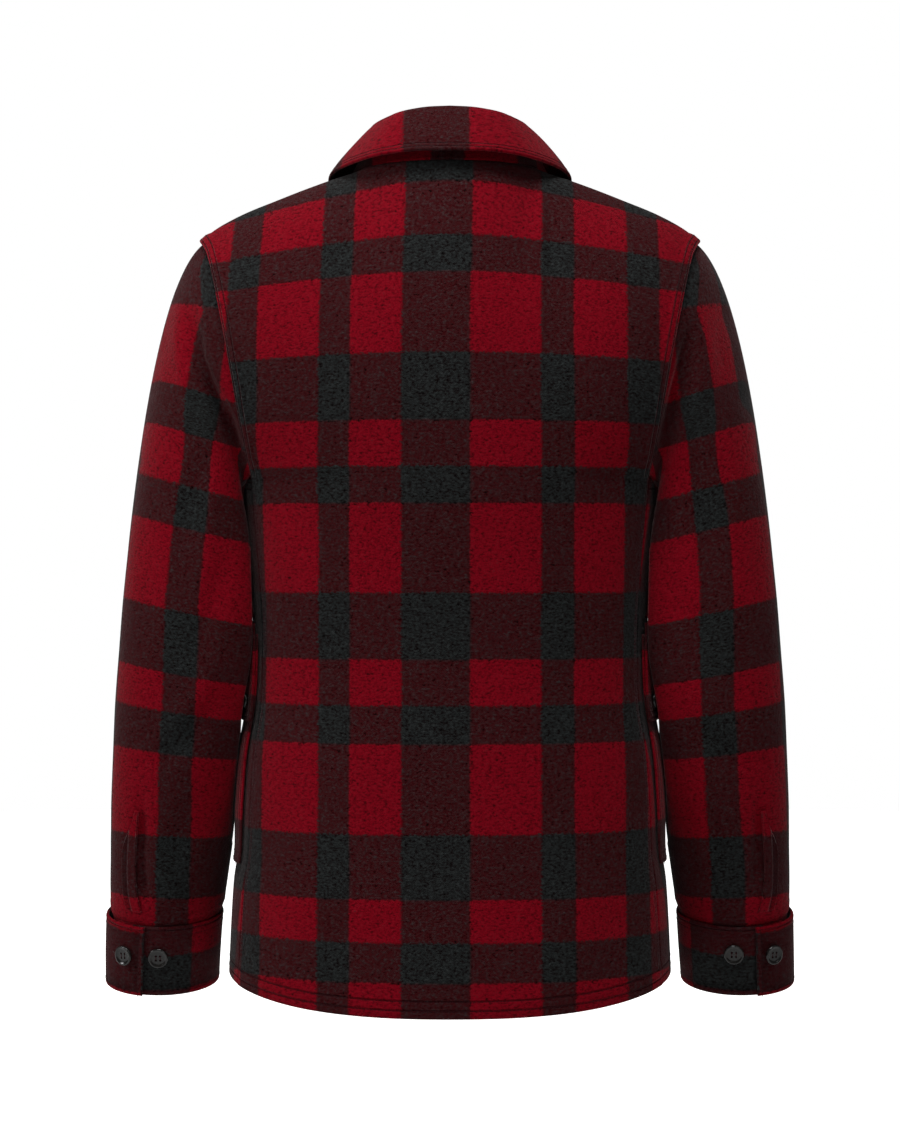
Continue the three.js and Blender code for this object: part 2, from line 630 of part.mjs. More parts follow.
// Buttons: a dished disc with a raised rim and four holes
const wasm = await Module();
wasm.setup();
const { Manifold, CrossSection } = wasm;
function buttonShape(r, thick) {
  const outline = [
    [0, 0], [r - 1.2, 0], [r, thick * 0.4], [r - 0.5, thick], [r - 1.8, thick],
    [r - 3, thick * 0.62], [0, thick * 0.62],
  ];
  let solid = Manifold.revolve(new CrossSection([outline]), 16);
  for (const [x, y] of [[1, 1], [1, -1], [-1, 1], [-1, -1]]) {
    const hole = Manifold.cylinder(thick * 3, HOLE_R, HOLE_R, 6);
    solid = solid.subtract(hole.translate([x * HOLE_SPACING, y * HOLE_SPACING, -thick]));
  }
  return solid;
}
const large = buttonShape(BUTTON_R, BUTTON_THICK).getMesh();
const small = buttonShape(SMALL_R, BUTTON_THICK).getMesh();
function button(at, normal, disc = large) {
  const turn = new THREE.Quaternion().setFromUnitVectors(V(0, 0, 1), normal);
  const position = [];
  for (let i = 0; i < disc.vertProperties.length; i += disc.numProp) {
    const p = V(disc.vertProperties[i], disc.vertProperties[i + 1], disc.vertProperties[i + 2]);
    p.applyQuaternion(turn).add(at);
    position.push(p.x, p.y, p.z);
  }
  const geometry = new THREE.BufferGeometry();
  geometry.setAttribute("position", new THREE.Float32BufferAttribute(position, 3));
  geometry.setIndex([...disc.triVerts]);
  geometry.computeVertexNormals();
  return geometry;
}
FRONT_BUTTON_Z.forEach((z, i) => {
  const v = z > UNDERARM_Z ? 1 + (z - UNDERARM_Z) / (-72 - UNDERARM_Z) : FRONT.heightToV(0, z);
  const n = FRONT.normal(0, v);
  const at = FRONT.point(0, v).addScaledVector(n, lapOver(0) + 0.6);
  add(`front_button_${i + 1}`, button(at, n), BUTTON);
});
FLAP_BUTTONS.forEach(({ along, z }, i) => {
  const p = fromSeam(along);
  const v = FRONT.heightToV(p, z);
  const n = FRONT.normal(p, v);
  const at = FRONT.point(p, v).addScaledVector(n, FLAP.off + FLAP.wall + 1);
  const shape = button(at, n, small);
  add(`flap_button_left_${i + 1}`, shape, BUTTON);
  add(`flap_button_right_${i + 1}`, mirrored(shape), BUTTON);
});
[{ angle: 50 + 360, t: 0.5 }, { angle: 91, t: 0.45 }].forEach(({ angle, t }, i) => {
  const at = cuffPoint(angle, t, cuffRise(angle));
  const a = cuffPoint(angle + 2, t, cuffRise(angle)).sub(cuffPoint(angle - 2, t, cuffRise(angle)));
  const n = a.cross(V(0.05, -0.16, -0.98)).normalize().negate();
  const shape = button(at.addScaledVector(n, 1.2), n);
  add(`cuff_button_left_${i + 1}`, shape, BUTTON);
  add(`cuff_button_right_${i + 1}`, mirrored(shape), BUTTON);
});

export default object;
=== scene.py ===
# Wool overshirt in a large red and black check, filled out as worn with nobody in it, in metres.
# +X is the wearer's left, +Y the back, +Z up. The origin is the middle of the base of the neck.
import bpy, math
import numpy as np
from mathutils import Matrix, Vector


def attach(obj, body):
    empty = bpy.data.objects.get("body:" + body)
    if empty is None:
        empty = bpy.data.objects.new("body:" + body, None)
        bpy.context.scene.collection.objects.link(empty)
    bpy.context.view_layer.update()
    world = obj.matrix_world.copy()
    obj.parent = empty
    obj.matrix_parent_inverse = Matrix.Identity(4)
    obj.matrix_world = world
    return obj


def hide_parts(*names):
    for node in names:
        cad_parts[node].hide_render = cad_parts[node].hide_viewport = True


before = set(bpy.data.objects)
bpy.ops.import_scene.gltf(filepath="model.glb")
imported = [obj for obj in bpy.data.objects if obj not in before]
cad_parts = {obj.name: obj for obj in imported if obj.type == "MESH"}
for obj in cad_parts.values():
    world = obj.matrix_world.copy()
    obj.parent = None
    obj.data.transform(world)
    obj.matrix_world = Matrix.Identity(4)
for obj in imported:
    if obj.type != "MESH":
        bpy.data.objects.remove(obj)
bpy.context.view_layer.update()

# Camera
# It stands straight behind the garment, level with the middle of its back, as the photograph does.
# The frame is 900 x 1125, and a pixel covers 0.9 mm in the plane of the shoulder seams.
CAMERA_AWAY = 2.25
CAMERA_HEIGHT = -0.345
LENS_MM = 80
SENSOR_MM = 36


def put(name, data):
    """A new object of the scene, with this data."""
    made = bpy.data.objects.new(name, data)
    bpy.context.scene.collection.objects.link(made)
    return made


view_camera = bpy.data.cameras.new("camera")
view_camera.lens = LENS_MM
view_camera.sensor_width = SENSOR_MM
view_camera.clip_end = 60
camera = put("camera", view_camera)
camera.location = (0, CAMERA_AWAY, CAMERA_HEIGHT)
camera.rotation_euler = (math.pi / 2, 0, math.pi)
bpy.context.scene.camera = camera

# Wool cloth
# Heavy napped twill of red and charcoal yarns. Where a charcoal warp stripe crosses a charcoal weft band the
# cloth is charcoal, where only one of them runs red and charcoal yarns mix. Topstitching sinks in its nap,
# and the colour is darkened along the sewn rows as painted shade of that groove.
MM = 0.001
WARP_REPEAT = 277 * MM
WARP_STRIPES = ((0, 59), (120, 150), (202, 232))
WEFT_REPEAT = 205 * MM
WEFT_BANDS = ((0, 57), (96, 128))
STRIPE_SOFT = 1.6
RED = (0.052, 0.0001, 0.0018, 1)
MIXED = (0.0092, 0.0016, 0.0019, 1)
CHARCOAL = (0.0036, 0.0040, 0.0040, 1)
NAP_SCALE = 560
NAP_STRETCH = 0.6
TUFT_SCALE = 230
CLOUD_SCALE = 16
TWILL_PITCH = 1.5 * MM
NAP_STRAY = 7.0 * MM
TUFT_STRAY = 4.0 * MM
NAP_DEEP = 0.9 * MM
SEWN_PAINTED_SHADE = 0.38
SEWN_WIDE = 0.2


class Shade:
    """A value of a shader tree. Arithmetic on it adds Math nodes."""

    def __init__(self, finish, socket):
        self.finish, self.socket = finish, socket

    def math(self, operation, *others, first=None):
        values = [self, *others] if first is None else [first, self, *others]
        node = self.finish.node("ShaderNodeMath", {"operation": operation}, dict(enumerate(values)))
        return Shade(self.finish, node.outputs[0])

    def __add__(self, other):
        return self.math("ADD", other)

    def __sub__(self, other):
        return self.math("SUBTRACT", other)

    def __rsub__(self, other):
        return self.math("SUBTRACT", first=other)

    def __mul__(self, other):
        return self.math("MULTIPLY", other)

    def __truediv__(self, other):
        return self.math("DIVIDE", other)

    __radd__ = __add__
    __rmul__ = __mul__


class Finish:
    """A material and the nodes that make it."""

    def __init__(self, name, **shader):
        self.material = bpy.data.materials.new(name)
        self.material.use_nodes = True
        self.tree = self.material.node_tree
        self.tree.nodes.clear()
        self.shader = self.node("ShaderNodeBsdfPrincipled", inputs=shader)
        end = self.node("ShaderNodeOutputMaterial")
        self.tree.links.new(self.shader.outputs[0], end.inputs["Surface"])

    def node(self, kind, settings=None, inputs=None):
        made = self.tree.nodes.new(kind)
        for name, value in (settings or {}).items():
            if name == "stops":
                ramp = made.color_ramp
                for place, colour in value[2:]:
                    ramp.elements.new(place)
                for element, (place, colour) in zip(ramp.elements, sorted(value)):
                    element.position = place
                    element.color = colour if hasattr(colour, "__len__") else (colour, colour, colour, 1)
            else:
                setattr(made, name, value)
        for name, value in (inputs or {}).items():
            self.feed(made.inputs[name], value)
        return made

    def feed(self, socket, value):
        if isinstance(value, Shade):
            self.tree.links.new(value.socket, socket)
        else:
            socket.default_value = value

    def value(self, kind, settings=None, inputs=None, output=0):
        return Shade(self, self.node(kind, settings, inputs).outputs[output])

    def mix(self, share, low, high, blend="MIX"):
        settings = {"data_type": "RGBA", "blend_type": blend}
        return self.value("ShaderNodeMix", settings, {0: share, 6: low, 7: high}, output=2)

    def place(self):
        return self.value("ShaderNodeTexCoord", output="Object")

    def noise(self, where, scale, detail=2.0, roughness=0.5):
        inputs = {"Vector": where, "Scale": scale, "Detail": detail, "Roughness": roughness}
        return self.value("ShaderNodeTexNoise", None, inputs)

    def bump(self, height, distance, strength=1.0):
        inputs = {"Height": height, "Distance": distance, "Strength": strength}
        made = self.node("ShaderNodeBump", None, inputs)
        self.tree.links.new(made.outputs[0], self.shader.inputs["Normal"])


def stripe_stops(stripes, repeat):
    soft = STRIPE_SOFT / 2 * MM / repeat
    stops = []
    for start, end in stripes:
        a, b = start * MM / repeat, end * MM / repeat
        stops += [(a, 0.5 if a == 0 else 0.0), (a + soft, 1.0), (b - soft, 1.0), (b + soft, 0.0)]
        if a > 0:
            stops[-4] = (a - soft, 0.0)
    return stops + [(1 - soft, 0.0), (1.0, 0.5)]


def wool_finish():
    wool = Finish("wool_check", **{
        "Roughness": 1.0, "Specular IOR Level": 0.02, "Sheen Weight": 0.03, "Sheen Roughness": 0.35,
        "Sheen Tint": (1.0, 0.8, 0.8, 1),
    })
    where = wool.place()
    cloth = wool.value("ShaderNodeUVMap", {"uv_map": "cloth"})
    apart = wool.node("ShaderNodeSeparateXYZ", None, {0: cloth})
    warp_at, weft_at = (Shade(wool, apart.outputs[k]) for k in (0, 1))
    yarns = wool.value("ShaderNodeCombineXYZ", None, {0: warp_at * NAP_STRETCH, 1: weft_at})
    nap = wool.noise(yarns, NAP_SCALE, 3.0, 0.65)
    tuft = wool.noise(where, TUFT_SCALE, 3.0, 0.6)
    cloud = wool.noise(where, CLOUD_SCALE, 2.0)
    stray = (nap - 0.5) * NAP_STRAY + (tuft - 0.5) * TUFT_STRAY
    masks = []
    for at, repeat, stripes in ((warp_at, WARP_REPEAT, WARP_STRIPES), (weft_at, WEFT_REPEAT, WEFT_BANDS)):
        share = ((at + stray) / repeat).math("FRACT")
        masks.append(wool.value("ShaderNodeValToRGB", {"stops": stripe_stops(stripes, repeat)}, {0: share}))
    warp, weft = masks
    twill = ((warp_at + weft_at) / TWILL_PITCH * math.tau).math("SINE")
    dark = (warp + weft) * 0.5 + twill * (warp - weft) * 0.06 + (nap - 0.5) * 1.5 + (tuft - 0.5) * 0.7
    dyes = [(0.04, RED), (0.96, CHARCOAL), (0.50, MIXED)]
    tone = wool.value("ShaderNodeValToRGB", {"stops": dyes}, {0: dark})
    coarse = warp.math("MAXIMUM", weft) * 0.5 + 1.0
    light = 0.94 + (nap - 0.5) * coarse * 3.6 + (tuft - 0.5) * coarse * 1.6 + cloud * 0.12 + twill * 0.03
    rows = wool.value("ShaderNodeAttribute", {"attribute_name": "stitch"}, output="Fac")
    near = (rows - 1.0).math("ABSOLUTE").math("MINIMUM", (rows - 2.0).math("ABSOLUTE"))
    ranges = {"Value": near, "From Min": 0.0, "From Max": SEWN_WIDE, "To Min": 1.0, "To Max": 0.0}
    groove = wool.value("ShaderNodeMapRange", {"interpolation_type": "SMOOTHSTEP"}, ranges)
    # Painted shade: the colour darkens along the sewn rows, standing in for the shade in their grooves.
    light = light * (1.0 - groove * SEWN_PAINTED_SHADE)
    tone = wool.mix(1.0, tone, light, "MULTIPLY")
    wool.feed(wool.shader.inputs["Base Color"], tone)
    wool.bump(nap * 0.7 + tuft * 1.1 + twill * 0.07 - groove * 1.5, NAP_DEEP, 0.85)
    return wool.material


WOOL = wool_finish()

# Back
# One piece of cloth from side seam to side seam and from the collar to a curved hem, turned up and sewn with
# two rows. Its armhole edges are turned under and lapped over the sleeves, with two rows, as at its sides.
CLOTH = 2.2
SHOULDER_GAP = 0.15
SEAM_GAP = 0.1
NO_STITCH = 9.0
NO_SECOND = 70
FAR = 60
EDGE_BULGE = 0.45
THREAD_LIFT = 0.05
ROUNDNESS = 2.4
UNDERARM_Z = -272
SIDE_SEAM = 73
HEM_Z = -709
HEM_DROP = 24
SHOULDER_Y = -2
ARMHOLE_TURN = 105
ARMHOLE_TURN_Z = -230
ARMHOLE_CURVE = 2
NECK_AT_BACK = 0.42
NECK_AT_FRONT = 0.46
NECK_EASE_FRONT = 1.22
CENTRE_BACK = ((0, 117, -272), (0, 119, -200), (0, 114, -130), (0, 98, -62), (0, 68, 7))
CENTRE_FRONT = ((0, -119, -272), (0, -117, -205), (0, -107, -140), (0, -86, -72))
NECK_BACK = ((0, 68, 7), (38, 60, 7), (72, 33, 6.5), (88, -2, 5))
NECK_FRONT = ((0, -86, -72), (26, -82, -64), (58, -65, -44), (79, -37, -19), (88, -2, 5))
SHOULDER = ((88, -2, 5), (108, -2, -1.5), (131, -2, -9.8), (154, -2, -18.8), (187, -2, -32.3),
            (211.5, -2, -45.8), (225, -2, -57))
ARMHOLE_BACK = ((217, 32, -74), (204, 67, -120), (191, 79, -178), (182, 74, -228), (177, 64, -256))
ARMHOLE_FRONT = ((173, -58, -188), (173, -61, -145), (186, -54, -102), (209, -35, -73))


def table(names, *rows):
    """Named columns of numbers, in the order of the first."""
    return dict(zip(names.split(), np.array(sorted(rows), float).T))


def read(columns, name, at):
    """Every column on a smooth curve through its rows, at a value of one of them."""
    x = columns[name]
    at = np.clip(np.asarray(at, float), x[0], x[-1])
    i = np.clip(np.searchsorted(x, at) - 1, 0, len(x) - 2)
    low, high = np.maximum(np.arange(len(x)) - 1, 0), np.minimum(np.arange(len(x)) + 1, len(x) - 1)
    h = x[i + 1] - x[i]
    t = (at - x[i]) / h
    out = {}
    for key, y in columns.items():
        slope = (y[high] - y[low]) / (x[high] - x[low])
        out[key] = (y[i] * (2 * t**3 - 3 * t**2 + 1) + h * slope[i] * (t**3 - 2 * t**2 + t)
                    + y[i + 1] * (3 * t**2 - 2 * t**3) + h * slope[i + 1] * (t**3 - t**2))
    return out


def bent(points, at):
    """Reads a bent line that is given by its corners."""
    return np.interp(at, *zip(*points))


def smooth(t):
    c = np.clip(t, 0, 1)
    return c * c * (3 - 2 * c)


def unit(v):
    return v / np.maximum(np.linalg.norm(v, axis=-1, keepdims=True), 1e-9)


def xyz(x, y, z):
    return np.stack(np.broadcast_arrays(x, y, z), axis=-1).astype(float)


def curve_points(points, closed, at):
    """Points of a centripetal curve through the given ones, at shares of its count of spans."""
    p = np.array(points, float)
    n = len(p)
    spans = n if closed else n - 1
    place = np.asarray(at, float) * spans
    i = np.clip(np.floor(place).astype(int), 0, spans if closed else spans - 1)
    w = (place - i)[:, None]
    if closed:
        a, b, c, d = (p[(i + k) % n] for k in (-1, 0, 1, 2))
    else:
        q = np.vstack([2 * p[0] - p[1], p, 2 * p[-1] - p[-2]])
        a, b, c, d = (q[i + k] for k in (0, 1, 2, 3))
    u, v, s = (np.linalg.norm(e - f, axis=1)[:, None] ** 0.5 for e, f in ((b, a), (c, b), (d, c)))
    t1 = ((b - a) / u - (c - a) / (u + v) + (c - b) / v) * v
    t2 = ((c - b) / v - (d - b) / (v + s) + (d - c) / s) * v
    return b + t1 * w + (3 * (c - b) - 2 * t1 - t2) * w**2 + (2 * (b - c) + t1 + t2) * w**3


def line(points, closed=False, start=0.0, end=1.0, samples=240):
    """Reads a smooth line at shares of its length."""
    at = curve_points(points, closed, np.linspace(start, end, samples + 1))
    along = np.concatenate([[0], np.cumsum(np.linalg.norm(np.diff(at, axis=0), axis=1))])

    def point(share):
        want = np.clip(share, 0, 1) * along[-1]
        return np.stack([np.interp(want, along, at[:, k]) for k in range(3)], axis=-1)

    return point


TORSO = table(
    "z half back front",
    (-760, 199.5, 130, 127), (-709, 198, 128, 126), (-631, 194, 121, 123), (-600, 189.9, 118, 121),
    (-559, 188.9, 115, 120), (-514, 186, 112, 119), (-469, 178.6, 109, 118), (-424, 177, 108, 117),
    (-379, 178, 110, 117), (-330, 182, 113, 118), (-272, 187, 117, 119), (-225, 187, 118, 119),
)


def ring(phi, z):
    """A level outline of the body, at angles from the centre back towards the wearer's left."""
    size = read(TORSO, "z", z)
    c, s = np.cos(phi), np.sin(phi)
    deep = np.where(c >= 0, size["back"], size["front"])
    r = (np.abs(c / deep) ** ROUNDNESS + np.abs(s / size["half"]) ** ROUNDNESS) ** (-1 / ROUNDNESS)
    return xyz(r * s, r * c, z)


def even_angle(start, end, n=180):
    """Angles that share out the body's outline evenly, and the length between them."""
    angles = np.linspace(start, end, n + 1)
    step = np.linalg.norm(np.diff(ring(angles, UNDERARM_Z), axis=0), axis=1)
    along = np.concatenate([[0], np.cumsum(step)])
    return lambda share: np.interp(share * along[-1], along, angles), along[-1]


corner = ring(math.radians(SIDE_SEAM), UNDERARM_Z)
turn = ring(math.radians(ARMHOLE_TURN), ARMHOLE_TURN_Z)
loop = [(225, SHOULDER_Y, -57), *ARMHOLE_BACK, tuple(corner), tuple(turn), *ARMHOLE_FRONT]
armhole_back = line(loop, True, (len(ARMHOLE_BACK) + 1) / len(loop), 0)
armhole_front = line(loop, True, (len(ARMHOLE_BACK) + 2) / len(loop), 1)
shoulder = line(SHOULDER)


class Side:
    """Half of the body before or behind the side seam. p runs from the centre (0) over the upright part of
    the armhole (1) to the side seam (last), v from the hem (0) over the armhole's foot (1) to its top (2).
    """

    def __init__(self, start, turn_angle, turn_z, centre, neck, armhole, neck_at, ease, gap, facing):
        self.whole, whole_length = even_angle(math.radians(start), math.radians(SIDE_SEAM))
        self.main, self.length = even_angle(math.radians(start), math.radians(turn_angle))
        self.last = whole_length / self.length
        self.turn_z, self.armhole, self.neck_at = turn_z, armhole, neck_at
        self.ease, self.gap, self.facing = ease, gap, facing
        self.middle, self.neck = line(centre), line(neck)
        self.end = ring(math.radians(turn_angle), turn_z)

    def angle(self, p):
        return np.where(p <= 1, self.main(p), self.whole(p / self.last))

    def foot_z(self, p):
        beyond = (self.last - p) / max(self.last - 1, 1e-9)
        share = np.where(p <= 1, p**2, np.abs(beyond) ** ARMHOLE_CURVE)
        return UNDERARM_Z + (self.turn_z - UNDERARM_Z) * share

    def top(self, p):
        neck = self.neck(np.abs(p / self.neck_at) ** self.ease)
        seam = shoulder((p - self.neck_at) / (1 - self.neck_at))
        seam[..., 1] = SHOULDER_Y + self.gap
        return np.where((p < self.neck_at - 1e-6)[..., None], neck, seam)

    def plain(self, p, q):
        foot = ring(self.angle(p), self.foot_z(p))
        start = self.middle(0.0)
        gx = foot[..., 0] / self.end[0]
        gy = (start[1] - foot[..., 1]) / (start[1] - self.end[1])

        def blend(a, b):
            return xyz(b[..., 0] * gx, a[..., 1] + (b[..., 1] - a[..., 1]) * gy,
                       a[..., 2] + (b[..., 2] - a[..., 2]) * p**2)

        one = np.ones_like(p)
        ends = blend(self.middle(one), self.armhole(one))
        return blend(self.middle(q), self.armhole(q)) + (self.top(p) - ends) * (q**3)[..., None]

    def upper(self, p, q):
        at = self.plain(p, q)
        one = np.ones_like(p)
        rise = (self.plain(p, one) - self.plain(p, one * 0.995)) / 0.005
        fix = smooth((p - self.neck_at + 0.16) / 0.16) * q**4 * (q - 1)
        at[..., 0] -= rise[..., 0] * fix
        at[..., 2] -= rise[..., 2] * fix
        return at

    def hem(self, phi):
        at = ring(phi, HEM_Z + 0 * phi)
        size = read(TORSO, "z", HEM_Z)
        deep = np.where(at[..., 1] >= 0, size["back"], size["front"])
        return HEM_Z - HEM_DROP * np.abs(at[..., 1] / deep) ** 1.6

    def point(self, p, v):
        p, v = np.broadcast_arrays(np.asarray(p, float), np.asarray(v, float))
        a = np.minimum(np.abs(p), self.last)
        low = self.hem(self.angle(a))
        under = ring(self.angle(a), low + (self.foot_z(a) - low) * np.minimum(v, 1))
        over = self.upper(np.minimum(a, 1), np.clip(v - 1, 0, 1))
        at = np.where((v <= 1)[..., None], under, over)
        at[..., 0] *= np.where(p < 0, -1, 1)
        return at

    def normal(self, p, v):
        p, v = np.broadcast_arrays(np.asarray(p, float), np.asarray(v, float))
        d = 0.004
        most = np.where(v > 1, 1, self.last)
        across = self.point(np.minimum(p + d, most), v) - self.point(np.maximum(p - d, -most), v)
        top, low = np.where(v > 1, 2, 1), np.where(v > 1, 1.0001, 0)
        up = self.point(p, np.minimum(v + d, top)) - self.point(p, np.maximum(v - d, low))
        n = unit(np.cross(across, up) * self.facing)
        t = (np.abs(p) - self.neck_at) / (1 - self.neck_at)
        along = shoulder(t + 0.01) - shoulder(t - 0.01)
        ridge = unit(xyz(-along[..., 2] * np.where(p < 0, -1, 1), 0, along[..., 0]))
        share = smooth((v - 1.95) / 0.05) * (np.abs(p) >= self.neck_at - 1e-6)
        return unit(n + (ridge - n) * share[..., None])

    def height_to_v(self, p, z):
        low = self.hem(self.angle(np.abs(p)))
        return (z - low) / (self.foot_z(np.abs(p)) - low)


BACK = Side(0, SIDE_SEAM, UNDERARM_Z, CENTRE_BACK, NECK_BACK, armhole_back, NECK_AT_BACK, 1,
            SHOULDER_GAP / 2, -1)
FRONT = Side(180, ARMHOLE_TURN, ARMHOLE_TURN_Z, CENTRE_FRONT, NECK_FRONT, armhole_front, NECK_AT_FRONT,
             NECK_EASE_FRONT, -SHOULDER_GAP / 2, 1)


def lengths(face, axis, start=0, level=False):
    """Length along the lines of a grid from one of its lines, or its level part."""
    step = np.diff(face[..., :2] if level else face, axis=axis)
    along = np.cumsum(np.linalg.norm(step, axis=-1), axis=axis)
    along = np.insert(along, 0, 0, axis=axis)
    return along - np.take(along, [start], axis=axis)


def stitch_rows(distance, first, second):
    """1 and 2 on two sewn rows at these distances from an edge, and more beyond them."""
    last = 2 * second - first
    return np.interp(distance, (0, first, second, last, last + 1), (0, 1, 2, 3, NO_STITCH))


def creases(across, up, folds):
    """Soft ridges and troughs of a rise and a width, each along a line of points on the cloth."""
    total = np.zeros_like(across)
    for rise, wide, *spots in folds:
        spots = np.array(spots, float)
        spans = np.linalg.norm(np.diff(spots, axis=0), axis=1)
        before = np.concatenate([[0], np.cumsum(spans)])
        nearest, share = np.full_like(across, 1e9), np.zeros_like(across)
        for (x, y), (dx, dy), span, start in zip(spots, np.diff(spots, axis=0), spans, before):
            t = np.clip(((across - x) * dx + (up - y) * dy) / span**2, 0, 1)
            away = np.hypot(across - x - t * dx, up - y - t * dy)
            share = np.where(away < nearest, (start + t * span) / before[-1], share)
            nearest = np.minimum(nearest, away)
        total += rise * np.exp(-((nearest / wide) ** 2)) * (0.15 + 0.85 * np.sin(np.pi * share))
    return total


def grid_normals(face, closed=False):
    """Normals of a grid on the side from which its rows run up and its columns run right."""
    if closed:
        across = np.roll(face, -1, axis=1) - np.roll(face, 1, axis=1)
    else:
        across = np.gradient(face, axis=1)
    return unit(np.cross(across, np.gradient(face, axis=0)))


def shell(name, face, normals, thick, cloth, rows, has=None, closed=False):
    """A wall of cloth with rounded edges. Its outer face runs through a grid of points in millimetres."""
    count_rows, count_columns = face.shape[:2]
    ids = np.arange(count_rows * count_columns).reshape(count_rows, count_columns)
    wide = np.concatenate([ids, ids[:, :1]], axis=1) if closed else ids
    spot_ids = np.arange(wide.size).reshape(wide.shape)

    def quads(a):
        return np.stack([a[:-1, :-1], a[:-1, 1:], a[1:, 1:], a[1:, :-1]], axis=-1).reshape(-1, 4)

    cells, spots = quads(wide), quads(spot_ids)
    if has is not None:
        cells, spots = cells[has.reshape(-1)], spots[has.reshape(-1)]
    p, n = face.reshape(-1, 3), normals.reshape(-1, 3)
    thick = np.broadcast_to(np.asarray(thick, float), face.shape[:2]).reshape(-1, 1)
    a, b, c = (p[cells[:, k]] for k in (0, 1, 2))
    cross = np.cross(b - a, c - b)
    if np.sum(cross * n[cells[:, 0]]) < 0:
        cells, spots = cells[:, ::-1], spots[:, ::-1]
    start = cells.reshape(-1)
    end = np.roll(cells, -1, axis=1).reshape(-1)
    spot_start, spot_end = spots.reshape(-1), np.roll(spots, -1, axis=1).reshape(-1)
    rim = ~np.isin(start * len(p) + end, end * len(p) + start)
    start, end, spot_start, spot_end = (x[rim] for x in (start, end, spot_start, spot_end))
    out = np.zeros_like(p)
    push = unit(np.cross(p[end] - p[start], n[start]))
    np.add.at(out, start, push)
    np.add.at(out, end, push)
    edge = np.unique(np.concatenate([start, end]))
    out[edge] = unit(out[edge] - n[edge] * np.sum(out[edge] * n[edge], axis=1, keepdims=True))
    inset = p - out * thick * EDGE_BULGE
    layers = [inset, inset - n * thick]
    middle = (inset - n * thick / 2)[edge]
    for angle in np.radians((45, 90, 135)):
        away = n[edge] * math.cos(angle) / 2 + out[edge] * math.sin(angle) * EDGE_BULGE
        layers.append(middle + away * thick[edge])
    index = np.full(len(p), -1)
    index[edge] = np.arange(len(edge))
    levels_a = [start, *(2 * len(p) + k * len(edge) + index[start] for k in range(3)), start + len(p)]
    levels_b = [end, *(2 * len(p) + k * len(edge) + index[end] for k in range(3)), end + len(p)]
    faces, corners = [cells, cells[:, ::-1] + len(p)], [spots, spots[:, ::-1]]
    for k in range(4):
        faces.append(np.stack([levels_b[k], levels_a[k], levels_a[k + 1], levels_b[k + 1]], axis=1))
        corners.append(np.stack([spot_end, spot_start, spot_start, spot_end], axis=1))
    mesh = bpy.data.meshes.new(name)
    points = np.concatenate(layers) * MM
    used, faces = np.unique(np.concatenate(faces), return_inverse=True)
    faces = faces.reshape(-1, 4)
    mesh.from_pydata(points[used].tolist(), [], faces.tolist())
    places = cloth.reshape(-1, 2)[np.concatenate(corners).reshape(-1)] * MM
    mesh.uv_layers.new(name="cloth")
    mesh.uv_layers["cloth"].data.foreach_set("uv", places.astype(np.float32).reshape(-1))
    sewn = np.broadcast_to(np.asarray(rows, float), face.shape[:2]).reshape(-1)
    sewn = np.concatenate([sewn, sewn, np.tile(sewn[edge], 3)])[used]
    mesh.attributes.new("stitch", "FLOAT", "POINT").data.foreach_set("value", sewn.astype(np.float32))
    mesh.polygons.foreach_set("use_smooth", np.ones(len(mesh.polygons), bool))
    mesh.materials.append(WOOL)
    mesh.validate()
    piece = put(name, mesh)
    area = np.linalg.norm(np.cross(b - a, c - b), axis=1).sum()
    size = [float(lengths(face, 1)[:, -1].max()), float(lengths(face, 0)[-1].max())]
    if closed:
        size[0] += float(np.linalg.norm(face[:, 0] - face[:, -1], axis=1).max())
    area = min(float(area), 0.999 * size[0] * size[1])
    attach(piece, "root")
    return piece


thread_paths = {}


def sew(group, face, normals, edges, distances, lines=slice(None)):
    """Marks rows sewn at distances from edges of a grid: its low, high, left or right one."""
    for distance, edge in ((far, side) for far in distances for side in edges.split()):
        rows, out = face, normals
        if edge in ("low", "high"):
            rows, out = rows.swapaxes(0, 1), out.swapaxes(0, 1)
        rows, out = rows[lines], out[lines]
        if edge in ("high", "right"):
            rows, out = rows[:, ::-1], out[:, ::-1]
        path = []
        for row, n, far in zip(rows, out, lengths(rows, 1)):
            if far[-1] >= distance:
                at, up = (np.array([np.interp(distance, far, a[:, k]) for k in range(3)]) for a in (row, n))
                path.append(at + unit(up) * THREAD_LIFT)
        if len(path) > 1:
            thread_paths.setdefault(group, []).append(np.array(path))


NECK_COLUMNS = 40
SHOULDER_COLUMNS = 56
LOWER_ROWS = 96
UPPER_ROWS = 84
ARMHOLE_ROWS = (2.6, 8.2)
HEM_ROWS = (7, 15)
ARMHOLE_TURNED = 1.7
SEAM_ROWS = (2.4, 4.6)
BACK_STRIPES = ((-230, 272), (-191, 232), (-160.2, 202), (-108.8, 150), (-78.9, 120), (-17.3, 59), (41.7, 0),
                (86.9, -45), (115.4, -75), (176, -127), (203, -157), (240, -194))
BACK_BANDS = ((-760, 596), (-703, 538), (-669, 506), (-633, 467), (-578, 410), (-501, 333), (-468, 301),
              (-428.5, 262), (-371, 205), (-294, 128), (-262.5, 96), (-223, 57), (-165, 0), (-95, -77),
              (-62, -109), (-12, -148), (30, -190))
BAND_DROP = ((-300, 0), (-272, 0.03), (-210, 0.14), (-150, 0.42), (-110, 0.66), (-60, 1.08), (-30, 1.7),
             (0, 2.1))
BLADE_DROP = 17
BLADE_HALF = 180
FLAT_MORE = 9
FLAT_HALF = 167
NECK_SKEW = 3.0
